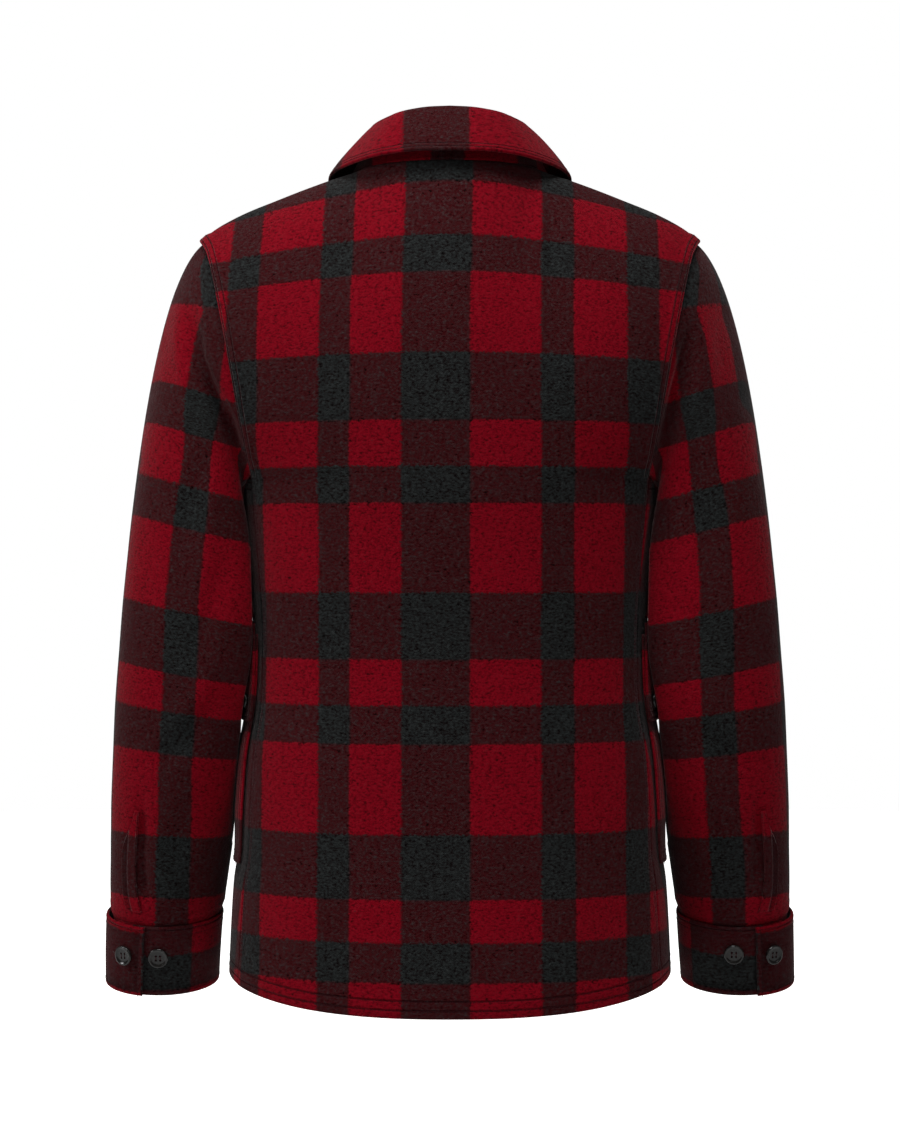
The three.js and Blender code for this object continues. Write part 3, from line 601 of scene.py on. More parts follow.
BACK_FOLDS = (
    (-1.6, 13, (168, -250), (140, -296), (104, -352)), (-1.8, 15, (-165, -246), (-134, -280), (-112, -330)),
    (1.2, 16, (150, -300), (128, -420)), (1.3, 14, (-148, -318), (-136, -455)),
    (1.8, 22, (128, -720), (118, -560)), (-1.4, 20, (84, -728), (92, -610)),
    (1.7, 24, (-104, -728), (-96, -575)), (-1.5, 17, (-150, -712), (-140, -600)),
    (1.0, 26, (20, -732), (14, -640)), (-1.0, 22, (-60, -60), (-120, -110)),
    (-1.1, 20, (70, -52), (130, -96)),
)


def warp_place(face, v, centre):
    """Distance over the cloth from the centre line, for each point of half or all of the body."""
    level = lengths(face, 1, centre, level=True)
    x = face[..., 0]
    flat = x + np.sign(x) * FLAT_MORE * np.minimum(np.abs(x) / FLAT_HALF, 1) ** 3
    share = smooth((v - 1) / 0.3)[:, None]
    return level * (1 - share) + flat * share


def weft_place(face, amount=1.0):
    """Height on the cloth: the bands drop towards the armholes over the shoulder blades."""
    x, z = face[..., 0], face[..., 2]
    drop = BLADE_DROP * (x / BLADE_HALF) ** 2 * bent(BAND_DROP, z)
    return bent(BACK_BANDS, z + amount * drop)


def skew(face):
    return NECK_SKEW * smooth((face[..., 2] + 150) / 150)


def turned_edge(armhole, v, thicker):
    """How much thicker the turned armhole edge is."""
    return thicker * (1 - smooth((armhole - 9) / 4)) * smooth((v - 1.02) / 0.08)


half_columns = np.concatenate([np.linspace(0, NECK_AT_BACK, NECK_COLUMNS + 1),
                               np.linspace(NECK_AT_BACK, 1, SHOULDER_COLUMNS + 1)[1:]])
columns = np.concatenate([-half_columns[:0:-1], half_columns])
heights = np.concatenate([np.linspace(0, 1, LOWER_ROWS + 1), np.linspace(1, 2, UPPER_ROWS + 1)[1:]])
p, v = np.meshgrid(columns, heights)
seam = np.where((v <= 1) & (np.abs(p) == 1), 1 - SEAM_GAP / 2 / BACK.length, 1.0)
face = BACK.point(p * seam, v)
normals = BACK.normal(p * seam, v)
normals[..., 0] = np.where(p == 0, 0, normals[..., 0])
normals[:, : len(half_columns) - 1] = normals[:, : len(half_columns) - 1 : -1] * (-1, 1, 1)
from_left = np.minimum(lengths(face, 1, 0), -lengths(face, 1, face.shape[1] - 1))
armhole = np.where(v > 1.001, from_left, FAR)
rise = creases(face[..., 0], face[..., 2], BACK_FOLDS) * smooth(from_left / 25)
turned = turned_edge(armhole, v, ARMHOLE_TURNED)
hemmed = 1 - smooth((lengths(face, 0) - HEM_ROWS[1]) / 5)
back_rows = np.minimum(stitch_rows(armhole, *ARMHOLE_ROWS), stitch_rows(lengths(face, 0), *HEM_ROWS))
back_rows = np.minimum(back_rows, stitch_rows(np.where(v < 0.99, from_left, FAR), *SEAM_ROWS))
warp = bent(BACK_STRIPES, warp_place(face, heights, len(half_columns) - 1) + skew(face))
cloth = np.stack([warp, weft_place(face)], axis=-1)
face = face + normals * (rise + turned + hemmed)[..., None]
back = shell("back_cloth", face, normals, CLOTH + turned + hemmed, cloth, back_rows)
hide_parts("back")
sew("back_thread", face, normals, "low", HEM_ROWS)
sew("back_thread", face, normals, "left right", ARMHOLE_ROWS, slice(LOWER_ROWS + 3, None))
sew("back_thread", face, normals, "left right", SEAM_ROWS, slice(6, LOWER_ROWS - 2))

# Fronts
# Two pieces from the side seams to a buttoned closing, the left over the right. Their front edges, hems and
# armhole edges are turned and sewn with two rows, like the back's.
SIDES = (("left", 1), ("right", -1))
NECK_STEPS = 6
past = NECK_AT_FRONT / NECK_STEPS
LAP_RISE = CLOTH + 0.6
FRONT_COLUMNS = 44
SIDE_COLUMNS = 26
FRONT_WARP = 22
FRONT_DROP = 0.6
EDGE_ROWS = (6, 13)
FRONT_FOLDS = (
    (-1.7, 15, (150, -220), (124, -272), (96, -330)), (-1.5, 15, (158, -150), (120, -210)),
    (1.3, 18, (60, -130), (84, -190), (92, -260)), (1.1, 16, (120, -330), (108, -395)),
    (1.6, 20, (110, -725), (118, -630)), (-1.4, 22, (52, -728), (58, -600)),
    (-1.1, 15, (40, -330), (66, -430)),
)


def lap_over(p):
    return LAP_RISE * (1 - smooth((p - past) / 0.12))


columns = np.concatenate([np.linspace(-past, 0, 9)[:-1], np.linspace(0, NECK_AT_FRONT, FRONT_COLUMNS + 1),
                          np.linspace(NECK_AT_FRONT, 1, SHOULDER_COLUMNS + 1)[1:],
                          np.linspace(1, FRONT.last, SIDE_COLUMNS + 1)[1:]])
centre, armhole_column = 8, 8 + FRONT_COLUMNS + SHOULDER_COLUMNS
p, v = np.meshgrid(columns, heights)
seam_p = np.where((v <= 1) & (p == FRONT.last), FRONT.last - SEAM_GAP / 2 / FRONT.length, p)
has = (v[1:, 1:] <= 1) | (p[1:, 1:] <= 1)
for side, sign in SIDES:
    face, normals = FRONT.point(seam_p, v), FRONT.normal(seam_p, v)
    armhole = np.where(v > 1.001, -lengths(face, 1, armhole_column), FAR)
    armhole = np.abs(np.where((v <= 1) & (p > 1), -lengths(face, 0, LOWER_ROWS), armhole))
    seam_side = -lengths(face, 1, len(columns) - 1)
    rise = creases(face[..., 0], face[..., 2], FRONT_FOLDS)
    rise = rise * smooth(seam_side / 30) * smooth((armhole - 6) / 20)
    lift = lap_over(p) if sign > 0 else 0 * p
    turned = turned_edge(armhole, v, ARMHOLE_TURNED * 0.6)
    opening = np.where(p < 1.0, lengths(face, 1), FAR)
    rows = np.minimum(stitch_rows(lengths(face, 0), *HEM_ROWS), stitch_rows(opening, *EDGE_ROWS))
    rows = np.minimum(rows, stitch_rows(armhole, *ARMHOLE_ROWS))
    warp = FRONT_WARP + sign * warp_place(face, heights, centre)
    cloth = np.stack([warp, weft_place(face, FRONT_DROP)], axis=-1)
    face = (face + normals * (rise + lift + turned)[..., None]) * (sign, 1, 1)
    normals = normals * (sign, 1, 1)
    piece = shell("front_cloth_" + side, face, normals, CLOTH + turned, cloth, rows, has=has)
    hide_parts("front_" + side)
    group = "front_thread_" + side
    sew(group, face, normals, "low", HEM_ROWS)
    sew(group, face, normals, "left", EDGE_ROWS)
    upright, foot = np.s_[:, : armhole_column + 1], np.s_[: LOWER_ROWS + 1]
    for distance in ARMHOLE_ROWS:
        sew(group, face[upright], normals[upright], "right", (distance,), slice(LOWER_ROWS + 3, None))
        sew(group, face[foot], normals[foot], "high", (distance,), slice(armhole_column, None))


# Sleeves
# Set-in sleeves. The head starts under the armhole's turned edge and hangs into a tube bent a little at the
# elbow, creased at the back of the armhole and above the cuff.
LAP = 0.9
UNDERLAP = 1.5
SLEEVE = table(
    "z x y half deep tilt lean clear",
    (-330, 231, 7, 57, 61, 0, 0.34, 2.6), (-379, 230.3, 11, 62.2, 60, 0.01, 0.36, 7.2),
    (-424, 232, 11, 64, 59, 0.02, 0.34, 8), (-469, 235.9, 8, 63.9, 58, 0.03, 0.3, 12.4),
    (-514, 242.2, 3, 60.2, 56, 0.05, 0.24, 5.4), (-559, 247.5, -4, 57.5, 54, 0.09, 0.16, 4.6),
    (-584, 250.1, -9, 55.9, 52.5, 0.12, 0.08, 4.6), (-613, 252.9, -14, 54.1, 50.5, 0.16, 0, 4.6),
    (-640, 255.4, -19, 52.4, 47.5, 0.2, 0, 4), (-650, 256.2, -21, 51.2, 44.5, 0.22, 0, 4),
    (-655.5, 257, -22.3, 48.3, 40.8, 0.22, 0, 4), (-672, 258, -25.5, 48.3, 40.9, 0.22, 0, 4),
)
SLEEVE_SOFT = 3
CAP_REACH = table(
    "u out swell",
    (0, 145, 0), (0.1, 115, 0), (0.2, 80, 1), (0.3, 68, 3), (0.45, 68, 4), (0.62, 82, 6), (0.75, 84, 5),
    (0.88, 112, 0), (1, 145, 0),
)
CAP_ROWS = 58
NEAR_BODY = dict(rise=2.4, angle=142, wide=26, z=-300, high=42)
OVER_CUFF = dict(rise=2.9, z=-656, high=5.5)
CREASES_END_Z = -652
BESIDE_BODY_Z = -240
CLEAR_OF_BODY_Z = -600
HEAD_SWELL = 16
SLEEVE_TOP, SLEEVE_END = -330, -672
TUBE_ROWS = 124
BACK_EDGE, FOOT_EDGE, FRONT_EDGE = 56, 22, 46
SLEEVE_BANDS = ((-760, 584), (-680, 504), (-643, 467), (-587, 410), (-514, 333), (-477, 301), (-444, 262),
                (-389, 205), (-315.5, 128), (-278, 96), (-231, 57), (-192, 0), (-117, -77), (-58, -109),
                (-30, -136))
SLEEVE_SLANT = ((-620, 0.04), (-500, 0.12), (-420, 0.2), (-300, 0.25), (-200, 0.33), (-120, 0.2), (-60, 0.2))
SLEEVE_WARP = {"left": 135, "right": 217}
SLEEVE_MIDDLE = 87.5
OUTER_FROM = -15
# How far the stripe strays from the middle of the sleeve, towards the body, by height.
STRIPE_DRIFT = {
    "left": ((-640, 11), (-602, 8), (-565, 4), (-530, -1), (-488, -5.5), (-430, -10), (-381, -11.7),
             (-340, -7), (-300, -2.3), (-262, 0)),
    "right": ((-640, 10), (-602, 7.7), (-565, 5.5), (-530, 2), (-500, -1), (-440, -7), (-372, -10.7),
              (-330, -7), (-295, -4), (-262, 0)),
}
# On the head the outer edge of the stripe down the back of the sleeve runs upright, through these places.
HEAD_FROM_Z = -262
SQUEEZE_FROM_Z = -222
HEAD_EDGE = {"left": 120, "right": 232}
HEAD_SQUEEZE = {"left": 1.0, "right": 1.8}
OUTER_PACE = {"left": 1.0, "right": 0.78}
HEAD_LINE = ((-260, 237), (-189, 230.6), (-145, 224.4), (-125, 217), (-92, 221), (-40, 224))
# Creases of the rear and of the front of a sleeve, by distance from the middle of the body and height.
REAR_FOLDS = {
    "left": (
        (4.2, 9, (240, -108), (237, -147), (232, -175), (230, -205)),
        (-16, 9, (232, -124), (224, -168), (212, -192), (198, -218), (187, -242), (181, -260)),
        (2.2, 9, (214, -168), (200, -196), (188, -222)),
        (-2.6, 10, (212, -250), (226, -284), (232, -330)), (2.4, 10, (196, -252), (208, -300), (214, -360)),
        (-2.4, 10, (192, -330), (206, -380), (226, -428)), (1.8, 12, (250, -300), (246, -380), (250, -440)),
        (2.4, 11, (200, -420), (222, -466), (250, -496)), (-2.4, 10, (210, -470), (236, -506), (268, -522)),
        (1.8, 13, (268, -420), (272, -500)), (-2.0, 12, (222, -540), (238, -590), (246, -632)),
        (1.8, 11, (214, -580), (226, -630)), (-1.8, 8, (262, -636), (284, -622), (300, -612)),
        (1.6, 9, (240, -646), (262, -620), (276, -590)), (-4.5, 5, (272, -545), (273, -595), (272, -655)),
    ),
    "right": (
        (2.2, 10, (218, -128), (226, -156), (228, -178), (218, -204)),
        (-1.8, 9, (238, -140), (240, -170), (234, -200)),
        (-14, 9, (214, -136), (204, -180), (194, -208), (186, -236), (181, -260)),
        (-2.4, 11, (206, -256), (222, -296), (226, -340)), (2.2, 10, (192, -262), (200, -310), (210, -372)),
        (-2.2, 11, (188, -350), (206, -396), (230, -438)), (1.7, 13, (248, -280), (250, -360), (246, -430)),
        (2.3, 12, (204, -440), (230, -478), (258, -500)), (-2.2, 10, (214, -486), (240, -516), (270, -528)),
        (1.7, 12, (270, -440), (268, -520)), (-2.0, 11, (226, -556), (236, -600), (250, -640)),
        (1.7, 12, (216, -560), (222, -620)), (-1.7, 9, (256, -630), (282, -616), (302, -600)),
        (-4.5, 5, (272, -545), (273, -595), (272, -655)),
    ),
}
FRONT_OF_SLEEVE = (
    (-2.6, 10, (196, -236), (222, -290), (236, -350)), (2.2, 12, (236, -180), (242, -250), (236, -320)),
    (-2.2, 12, (200, -380), (226, -430), (262, -456)), (2.4, 12, (204, -450), (236, -490), (276, -506)),
    (-2.4, 11, (208, -500), (244, -534), (284, -540)), (2.0, 12, (224, -560), (250, -600), (280, -620)),
    (-1.8, 11, (236, -640), (262, -610), (290, -596)), (-1.8, 14, (262, -260), (270, -340), (262, -420)),
)


def beside_body(at, clear):
    """Keeps points of the sleeve outside the body."""
    r = np.hypot(at[..., 0], at[..., 1])
    limit = np.linalg.norm(ring(np.arctan2(at[..., 0], at[..., 1]), at[..., 2])[..., :2], axis=-1) + clear
    over = r - limit
    scale = (limit + (over + np.hypot(over, SLEEVE_SOFT)) / 2) / r
    return xyz(at[..., 0] * scale, at[..., 1] * scale, at[..., 2])


def sleeve_ring(z, theta):
    size = read(SLEEVE, "z", z)
    y = size["deep"] * np.sin(theta)
    x = size["x"] + size["half"] * np.cos(theta) - size["lean"] * np.maximum(0, y) * (1 - np.cos(theta)) / 2
    at = xyz(x, size["y"] + y, z - size["tilt"] * y)
    return np.where((np.asarray(z) > CLEAR_OF_BODY_Z)[..., None], beside_body(at, size["clear"]), at)


def sleeve_grid():
    """The left sleeve from its end up to the armhole, and the normals of the armhole's edge."""
    seam = [(BACK, np.ones(BACK_EDGE), np.linspace(2, 1, BACK_EDGE + 1)[:-1]),
            (FRONT, np.linspace(FRONT.last, 1, FOOT_EDGE + 1)[:-1], np.ones(FOOT_EDGE)),
            (FRONT, np.ones(FRONT_EDGE), np.linspace(1, 2, FRONT_EDGE + 1)[:-1])]
    edge = np.concatenate([body.point(p, v) for body, p, v in seam])
    out = np.concatenate([body.normal(p, v) for body, p, v in seam])
    edge[0, 1] = SHOULDER_Y
    step = np.linalg.norm(np.roll(edge, -1, axis=0) - edge, axis=1)
    u = np.concatenate([[0], np.cumsum(step)[:-1]]) / step.sum()
    theta = math.tau * u
    tangent = unit(np.roll(edge, -1, axis=0) - np.roll(edge, 1, axis=0))
    away = -unit(np.cross(out, tangent))
    start = edge - out * (CLOTH + LAP)
    end = sleeve_ring(np.full_like(u, SLEEVE_TOP), theta)
    down = unit(sleeve_ring(np.full_like(u, SLEEVE_TOP - 15.0), theta) - end)
    reach = np.linalg.norm(start - end, axis=1)[:, None] * 1.05
    cap = read(CAP_REACH, "u", u)
    clear = read(SLEEVE, "z", SLEEVE_TOP)["clear"]
    rows = [start - away * UNDERLAP]
    for t in np.linspace(0, 1, CAP_ROWS) ** 1.15:
        at = (start * (2 * t**3 - 3 * t**2 + 1) + away * cap["out"][:, None] * (t**3 - 2 * t**2 + t)
              + end * (3 * t**2 - 2 * t**3) + down * reach * (t**3 - t**2)
              + out * cap["swell"][:, None] * HEAD_SWELL * t**2 * (1 - t) ** 2)
        share = smooth((t - 0.3) / 0.25) * smooth((UNDERARM_Z + 26 - at[:, 2]) / 12)
        rows.append(at + (beside_body(at, clear) - at) * share[:, None])
    for z in np.linspace(SLEEVE_TOP, SLEEVE_END, TUBE_ROWS + 1)[1:]:
        rows.append(sleeve_ring(np.full_like(u, z), theta))
    return np.array(rows)[::-1], out, theta


SLEEVE_FACE, armhole_out, sleeve_theta = sleeve_grid()
sleeve_normals = grid_normals(SLEEVE_FACE, closed=True)
sleeve_normals[-2:] = armhole_out
sleeve_normals[-5:-2] = unit(sleeve_normals[-5:-2] + armhole_out)


def sleeve_cloth(face, side, sign):
    """Distances over the cloth of a sleeve, with a last column that closes it."""
    girth = np.linalg.norm(np.diff(face, axis=1, append=face[:, :1]), axis=-1)
    around = np.concatenate([np.zeros((len(face), 1)), np.cumsum(girth, axis=1)], axis=1)
    theta = np.append(sleeve_theta, math.tau)
    middle = np.array([np.interp(math.radians(SLEEVE_MIDDLE), theta, a) for a in around])
    full = np.concatenate([face, face[:, :1]], axis=1)
    x, y, z = (full[..., k] for k in range(3))
    rear = smooth((y + 20) / 50)
    tilted = z + bent(SLEEVE_SLANT, z) * rear * (read(SLEEVE, "z", np.minimum(z, SLEEVE_TOP))["x"] - x)
    past_middle = around - middle[:, None] - bent(STRIPE_DRIFT[side], z)
    closer = OUTER_FROM + (past_middle - OUTER_FROM) * OUTER_PACE[side]
    warp = SLEEVE_WARP[side] + sign * np.where(past_middle < OUTER_FROM, closer, past_middle)
    inside = bent(HEAD_LINE, z) - x
    squeeze = 1 + (HEAD_SQUEEZE[side] - 1) * smooth((z - SQUEEZE_FROM_Z) / 24)
    upright = HEAD_EDGE[side] + sign * inside * np.where(inside < 0, squeeze, 1)
    share = smooth((z - HEAD_FROM_Z) / 50) * rear
    return np.stack([warp + (upright - warp) * share, bent(SLEEVE_BANDS, tilted)], axis=-1)


ring_z = np.linspace(SLEEVE_END, SLEEVE_TOP, TUBE_ROWS + 1)[:TUBE_ROWS]
ring_z = np.append(ring_z, np.full(len(SLEEVE_FACE) - TUBE_ROWS, SLEEVE_TOP))[:, None]
for side, sign in SIDES:
    face, normals = SLEEVE_FACE.copy(), sleeve_normals
    x, y, z = (face[..., k] for k in range(3))
    rear = smooth((np.sin(sleeve_theta) + 0.15) / 0.4)
    rise = creases(x, z, REAR_FOLDS[side]) * rear + creases(x, z, FRONT_OF_SLEEVE) * (1 - rear)
    from_top = -lengths(face, 0, len(face) - 1)
    rise *= smooth((from_top - 3) / 16) * smooth((z - CREASES_END_Z) / 20)
    body_side = smooth((-np.cos(sleeve_theta) - 0.45) / 0.4) * smooth((BESIDE_BODY_Z - z) / 30)
    rise *= 1 - body_side
    degrees = np.degrees(sleeve_theta)
    beside = np.exp(-(((degrees - NEAR_BODY["angle"]) / NEAR_BODY["wide"]) ** 2))
    rise += NEAR_BODY["rise"] * beside * np.exp(-(((z - NEAR_BODY["z"]) / NEAR_BODY["high"]) ** 2))
    outer = np.exp(-(((np.mod(degrees + 180, 360) - 180) / 55) ** 2))
    over = np.exp(-(((ring_z - OVER_CUFF["z"]) / OVER_CUFF["high"]) ** 2))
    rise += OVER_CUFF["rise"] * (0.75 + 0.25 * outer) * over
    face = face + normals * rise[..., None]
    cloth = sleeve_cloth(face, side, sign)
    face, normals = face * (sign, 1, 1), normals * (sign, 1, 1)
    piece = shell("sleeve_cloth_" + side, face, normals, CLOTH, cloth, NO_STITCH, closed=True)
    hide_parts("sleeve_" + side)

# Sleeve vents
# A strip of the same cloth on the edge of each sleeve's slit, above the cuff. It narrows towards its upper
# end and is sewn down with one row near its edge.
VENT_TOP, VENT_LOW = -560, -647
VENT = table("z edge", (VENT_TOP, 60.5), (-585, 61), (-610, 62), (-632, 64.5), (VENT_LOW, 69))
VENT_WIDTH = 16
VENT_THICK = 2
VENT_OFF = 0.4
VENT_ROW = 10
VENT_TAPER = 38
VENT_WARP = 46
VENT_LINES, VENT_COLUMNS = 48, 15
for side, sign in SIDES:
    z = np.linspace(VENT_LOW, VENT_TOP, VENT_LINES)
    size = read(SLEEVE, "z", z)
    edge = np.radians(read(VENT, "z", z)["edge"])
    width = VENT_WIDTH * (0.25 + 0.75 * smooth((VENT_TOP - z) / VENT_TAPER))
    sweep = width / np.hypot(size["half"] * np.sin(edge), size["deep"] * np.cos(edge))
    theta = edge[:, None] - sweep[:, None] * np.linspace(1, 0, VENT_COLUMNS)
    face = sleeve_ring(z[:, None] + 0 * theta, theta)
    normals = grid_normals(face)
    face = face + normals * (VENT_OFF + VENT_THICK)
    warp = SLEEVE_WARP[side] - sign * (VENT_WARP - lengths(face, 1))
    cloth = np.stack([warp, bent(SLEEVE_BANDS, face[..., 2])], axis=-1)
    rows = stitch_rows(-lengths(face, 1, VENT_COLUMNS - 1), VENT_ROW, NO_SECOND)
    face, normals = face * (sign, 1, 1), normals * (sign, 1, 1)
    piece = shell("vent_cloth_" + side, face, normals, VENT_THICK, cloth, rows)
    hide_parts("vent_" + side)
    sew("sleeve_thread_" + side, face, normals, "right", (VENT_ROW,))

# Cuffs
# Doubled bands of the same cloth that lap at the back of the wrist and button there. Each is sewn on with two
# rows at the top, and one more row runs near the bottom and up the lapped end.
CUFF_WALL = 2.6
CUFF_TOP = dict(z=-656, x=257.3, y=-22.3, half=51.9, deep=44.5)
CUFF_BOTTOM = dict(z=-721, x=261.3, y=-34.5, half=50.6, deep=42.5)
CUFF_TILT = 0.22
CUFF_START = 38
CUFF_END = 434
CUFF_RISE = 3
CUFF_RISE_FROM = 290
CUFF_COLUMNS = 220
CUFF_MORE = 0.055
CUFF_BRIM = 0.93
CUFF_EDGE_ROW = 4
CUFF_LINES = 30
CUFF_RIPPLE = 0.5
CUFF_ROWS = (2.6, 8.6)
# The edge of the stripe at the back of each cuff, its places in the cloth, and the slope of its bands.
CUFF_STRIPE = {"left": 123, "right": 145}
CUFF_WARP = (-20, 59, 336, 397)
CUFF_WEFT, CUFF_WEFT_UP, CUFF_WEFT_ROUND = 130, 66, 74


def cuff_rise(angle):
    return CUFF_RISE * smooth((angle - CUFF_RISE_FROM) / (360 + CUFF_START - CUFF_RISE_FROM))


def cuff_point(angle, t, out):
    size = {k: CUFF_BOTTOM[k] + (CUFF_TOP[k] - CUFF_BOTTOM[k]) * t for k in CUFF_TOP}
    theta = np.radians(angle)
    y = (size["deep"] + out) * np.sin(theta)
    return xyz(size["x"] + (size["half"] + out) * np.cos(theta), size["y"] + y, size["z"] - CUFF_TILT * y)


for side, sign in SIDES:
    t, angle = np.meshgrid(np.linspace(-CUFF_MORE, CUFF_BRIM, CUFF_LINES),
                           np.linspace(CUFF_START, CUFF_END, CUFF_COLUMNS), indexing="ij")
    swell = CUFF_RIPPLE * np.sin(np.radians(angle * 5 + 40 * sign)) * np.sin(np.pi * np.clip(t, 0, 1))
    face = cuff_point(angle, t, cuff_rise(angle) + swell)
    normals = grid_normals(face)
    upper = -lengths(face, 0, CUFF_LINES - 1)
    lower = lengths(face, 0)
    lapped = -lengths(face, 1, CUFF_COLUMNS - 1)
    rows = stitch_rows(np.minimum(lower, lapped), CUFF_EDGE_ROW, NO_SECOND)
    rows = np.minimum(rows, stitch_rows(upper, *CUFF_ROWS))
    warp = np.interp(angle, (CUFF_START, CUFF_STRIPE[side], 360, CUFF_END), CUFF_WARP)
    weft = CUFF_WEFT - CUFF_WEFT_UP * t - CUFF_WEFT_ROUND * smooth((angle - 200) / 120)
    cloth = np.stack([warp, weft], axis=-1)
    face, normals = face * (sign, 1, 1), normals * (sign, 1, 1)
    piece = shell("cuff_cloth_" + side, face, normals, CUFF_WALL, cloth, rows)
    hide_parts("cuff_" + side)
    group = "sleeve_thread_" + side
    sew(group, face, normals, "high", CUFF_ROWS)
    sew(group, face, normals, "low right", (CUFF_EDGE_ROW,))

# Collar
# A stand, a narrow band of the same cloth sewn to the neck edge, and a doubled fall folded over it. Two rows
# run along the fall's edge and its two ends.
COLLAR = [
    dict(k=0, x=0, y=53, z=49, edge_x=0, edge_y=82, edge_z=14),
    dict(k=2, x=28, y=49, z=48.5, edge_x=37, edge_y=78, edge_z=13.5),
    dict(k=4, x=54, y=32, z=45.5, edge_x=74, edge_y=56, edge_z=10.5),
    dict(k=6, x=72, y=-3, z=37, edge_x=107.5, edge_y=-2, edge_z=5.4),
    dict(k=8, x=67, y=-40, z=9), dict(k=10, x=42, y=-66, z=-22), dict(k=12, x=9, y=-80, z=-44),
]
COLLAR_ON_FRONT = ((0.54, 0.9), (0.52, 0.77), (0.43, 0.63))
COLLAR_GAP = 0.1
COLLAR_END = 0.35
COLLAR_ROLL = 9
COLLAR_SPREAD = ((-240, 120), (-129, 120), (-17.3, 59), (41.7, 0), (124, -45), (240, -60))
STAND_WARP, STAND_WEFT = 137, 58
FALL_WEFT = 131
FALL_PULL, FALL_PULL_BEHIND = 14, 11
FALL_FLARE = 8
FALL_RIPPLE = 0.5
STAND_LINES, FALL_LINES = 17, 46
FALL_WALL = 3.2
FALL_CLEAR = 5.2
COLLAR_ROWS = (3, 6.6)
COLLAR_COLUMNS = 110


def off_front(p, v, away):
    """A place at a distance from the front's cloth, and which way the cloth faces there."""
    out = FRONT.normal([p], [v])[0]
    return FRONT.point([p], [v])[0] + out * away, out


for spot, (p, q) in zip(COLLAR[4:], COLLAR_ON_FRONT):
    at, _ = off_front(p, 1 + q, FALL_CLEAR)
    spot.update(edge_x=at[0], edge_y=at[1], edge_z=at[2])
COLLAR = table("k x y z edge_x edge_y edge_z", *(tuple(spot.values()) for spot in COLLAR))


def neck_point(k):
    behind = BACK.point(np.minimum(k / NECK_STEPS, 1) * NECK_AT_BACK, 2 + 0 * k)
    before = FRONT.point(np.clip(2 - k / NECK_STEPS, 0, 1) * NECK_AT_FRONT, 2 + 0 * k)
    tip = FRONT.point([0, past], [2, 2])
    last = tip[0] + (tip[1] - tip[0]) * COLLAR_END
    full = FRONT.point((2 - (2 * NECK_STEPS - 1) / NECK_STEPS) * NECK_AT_FRONT + 0 * k, 2 + 0 * k)
    at = np.where((k <= NECK_STEPS)[:, None], behind, before)
    ending = np.clip(k - (2 * NECK_STEPS - 1), 0, 1)[:, None]
    return np.where(ending > 0, full + (last - full) * ending, at)


def both_sides(half):
    """A grid of half of the collar, and its other half."""
    return np.concatenate([half[:, :0:-1] * (-1, 1, 1), half], axis=1)


k = np.linspace(0, 2 * NECK_STEPS, COLLAR_COLUMNS + 1)
spots = read(COLLAR, "k", k)
high = xyz(spots["x"], spots["y"], spots["z"])
low = neck_point(k)
up = unit(high - low)
low = low + up * COLLAR_GAP
stand_half = np.array([low + (high - low) * t for t in np.linspace(0, 1, STAND_LINES)])
stand_face = both_sides(stand_half)
out_of_neck = grid_normals(stand_face)
out_of_neck *= np.sign(out_of_neck[STAND_LINES // 2, COLLAR_COLUMNS, 1])
around = lengths(stand_face, 1, COLLAR_COLUMNS)
cloth = np.stack([STAND_WARP - around, STAND_WEFT + lengths(stand_face, 0)], axis=-1)
stand = shell("collar_stand_cloth", stand_face, out_of_neck, CLOTH, cloth, NO_STITCH)
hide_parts("collar_stand")

push = (COLLAR_ROLL * smooth((k - 5) / 4))[:, None] * out_of_neck[-1, COLLAR_COLUMNS:]
first_bar = high + up * COLLAR_GAP
last_bar = xyz(spots["edge_x"], spots["edge_y"], spots["edge_z"])
first_pull = first_bar + up * (FALL_PULL + FALL_PULL_BEHIND * (1 - k / (2 * NECK_STEPS)))[:, None] + push
second_pull = last_bar + (first_bar - last_bar) * 0.42 + (0, 0, FALL_FLARE) + push


def fall_line(t):
    """A line along the fall, from the top of the stand (0) over the fold to the fall's edge (1)."""
    return (first_bar * (1 - t) ** 3 + 3 * first_pull * (1 - t) ** 2 * t + 3 * second_pull * (1 - t) * t * t
            + last_bar * t**3)


fall_half = np.array([fall_line(t) for t in np.linspace(1, 0, FALL_LINES)])
fall_face = both_sides(fall_half)
fall_normals = grid_normals(fall_face)
fall_normals *= np.sign(fall_normals[4, COLLAR_COLUMNS, 1])
around = lengths(fall_face, 1, COLLAR_COLUMNS)
from_edge = lengths(fall_face, 0)
ripple = FALL_RIPPLE * np.sin(around / 23 + 0.6)
ripple = ripple * smooth((from_edge - 3) / 12) * smooth((60 - from_edge) / 30)
fall_face = fall_face + fall_normals * ripple[..., None]
cloth = np.stack([bent(COLLAR_SPREAD, around), FALL_WEFT + from_edge], axis=-1)
ends = np.minimum(lengths(fall_face, 1, 0), -lengths(fall_face, 1, 2 * COLLAR_COLUMNS))
rows = np.minimum(stitch_rows(from_edge, *COLLAR_ROWS), stitch_rows(ends, *COLLAR_ROWS))
fall = shell("collar_fall_cloth", fall_face, fall_normals, FALL_WALL, cloth, rows)
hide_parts("collar_fall")
sew("collar_thread", fall_face, fall_normals, "low left right", COLLAR_ROWS)

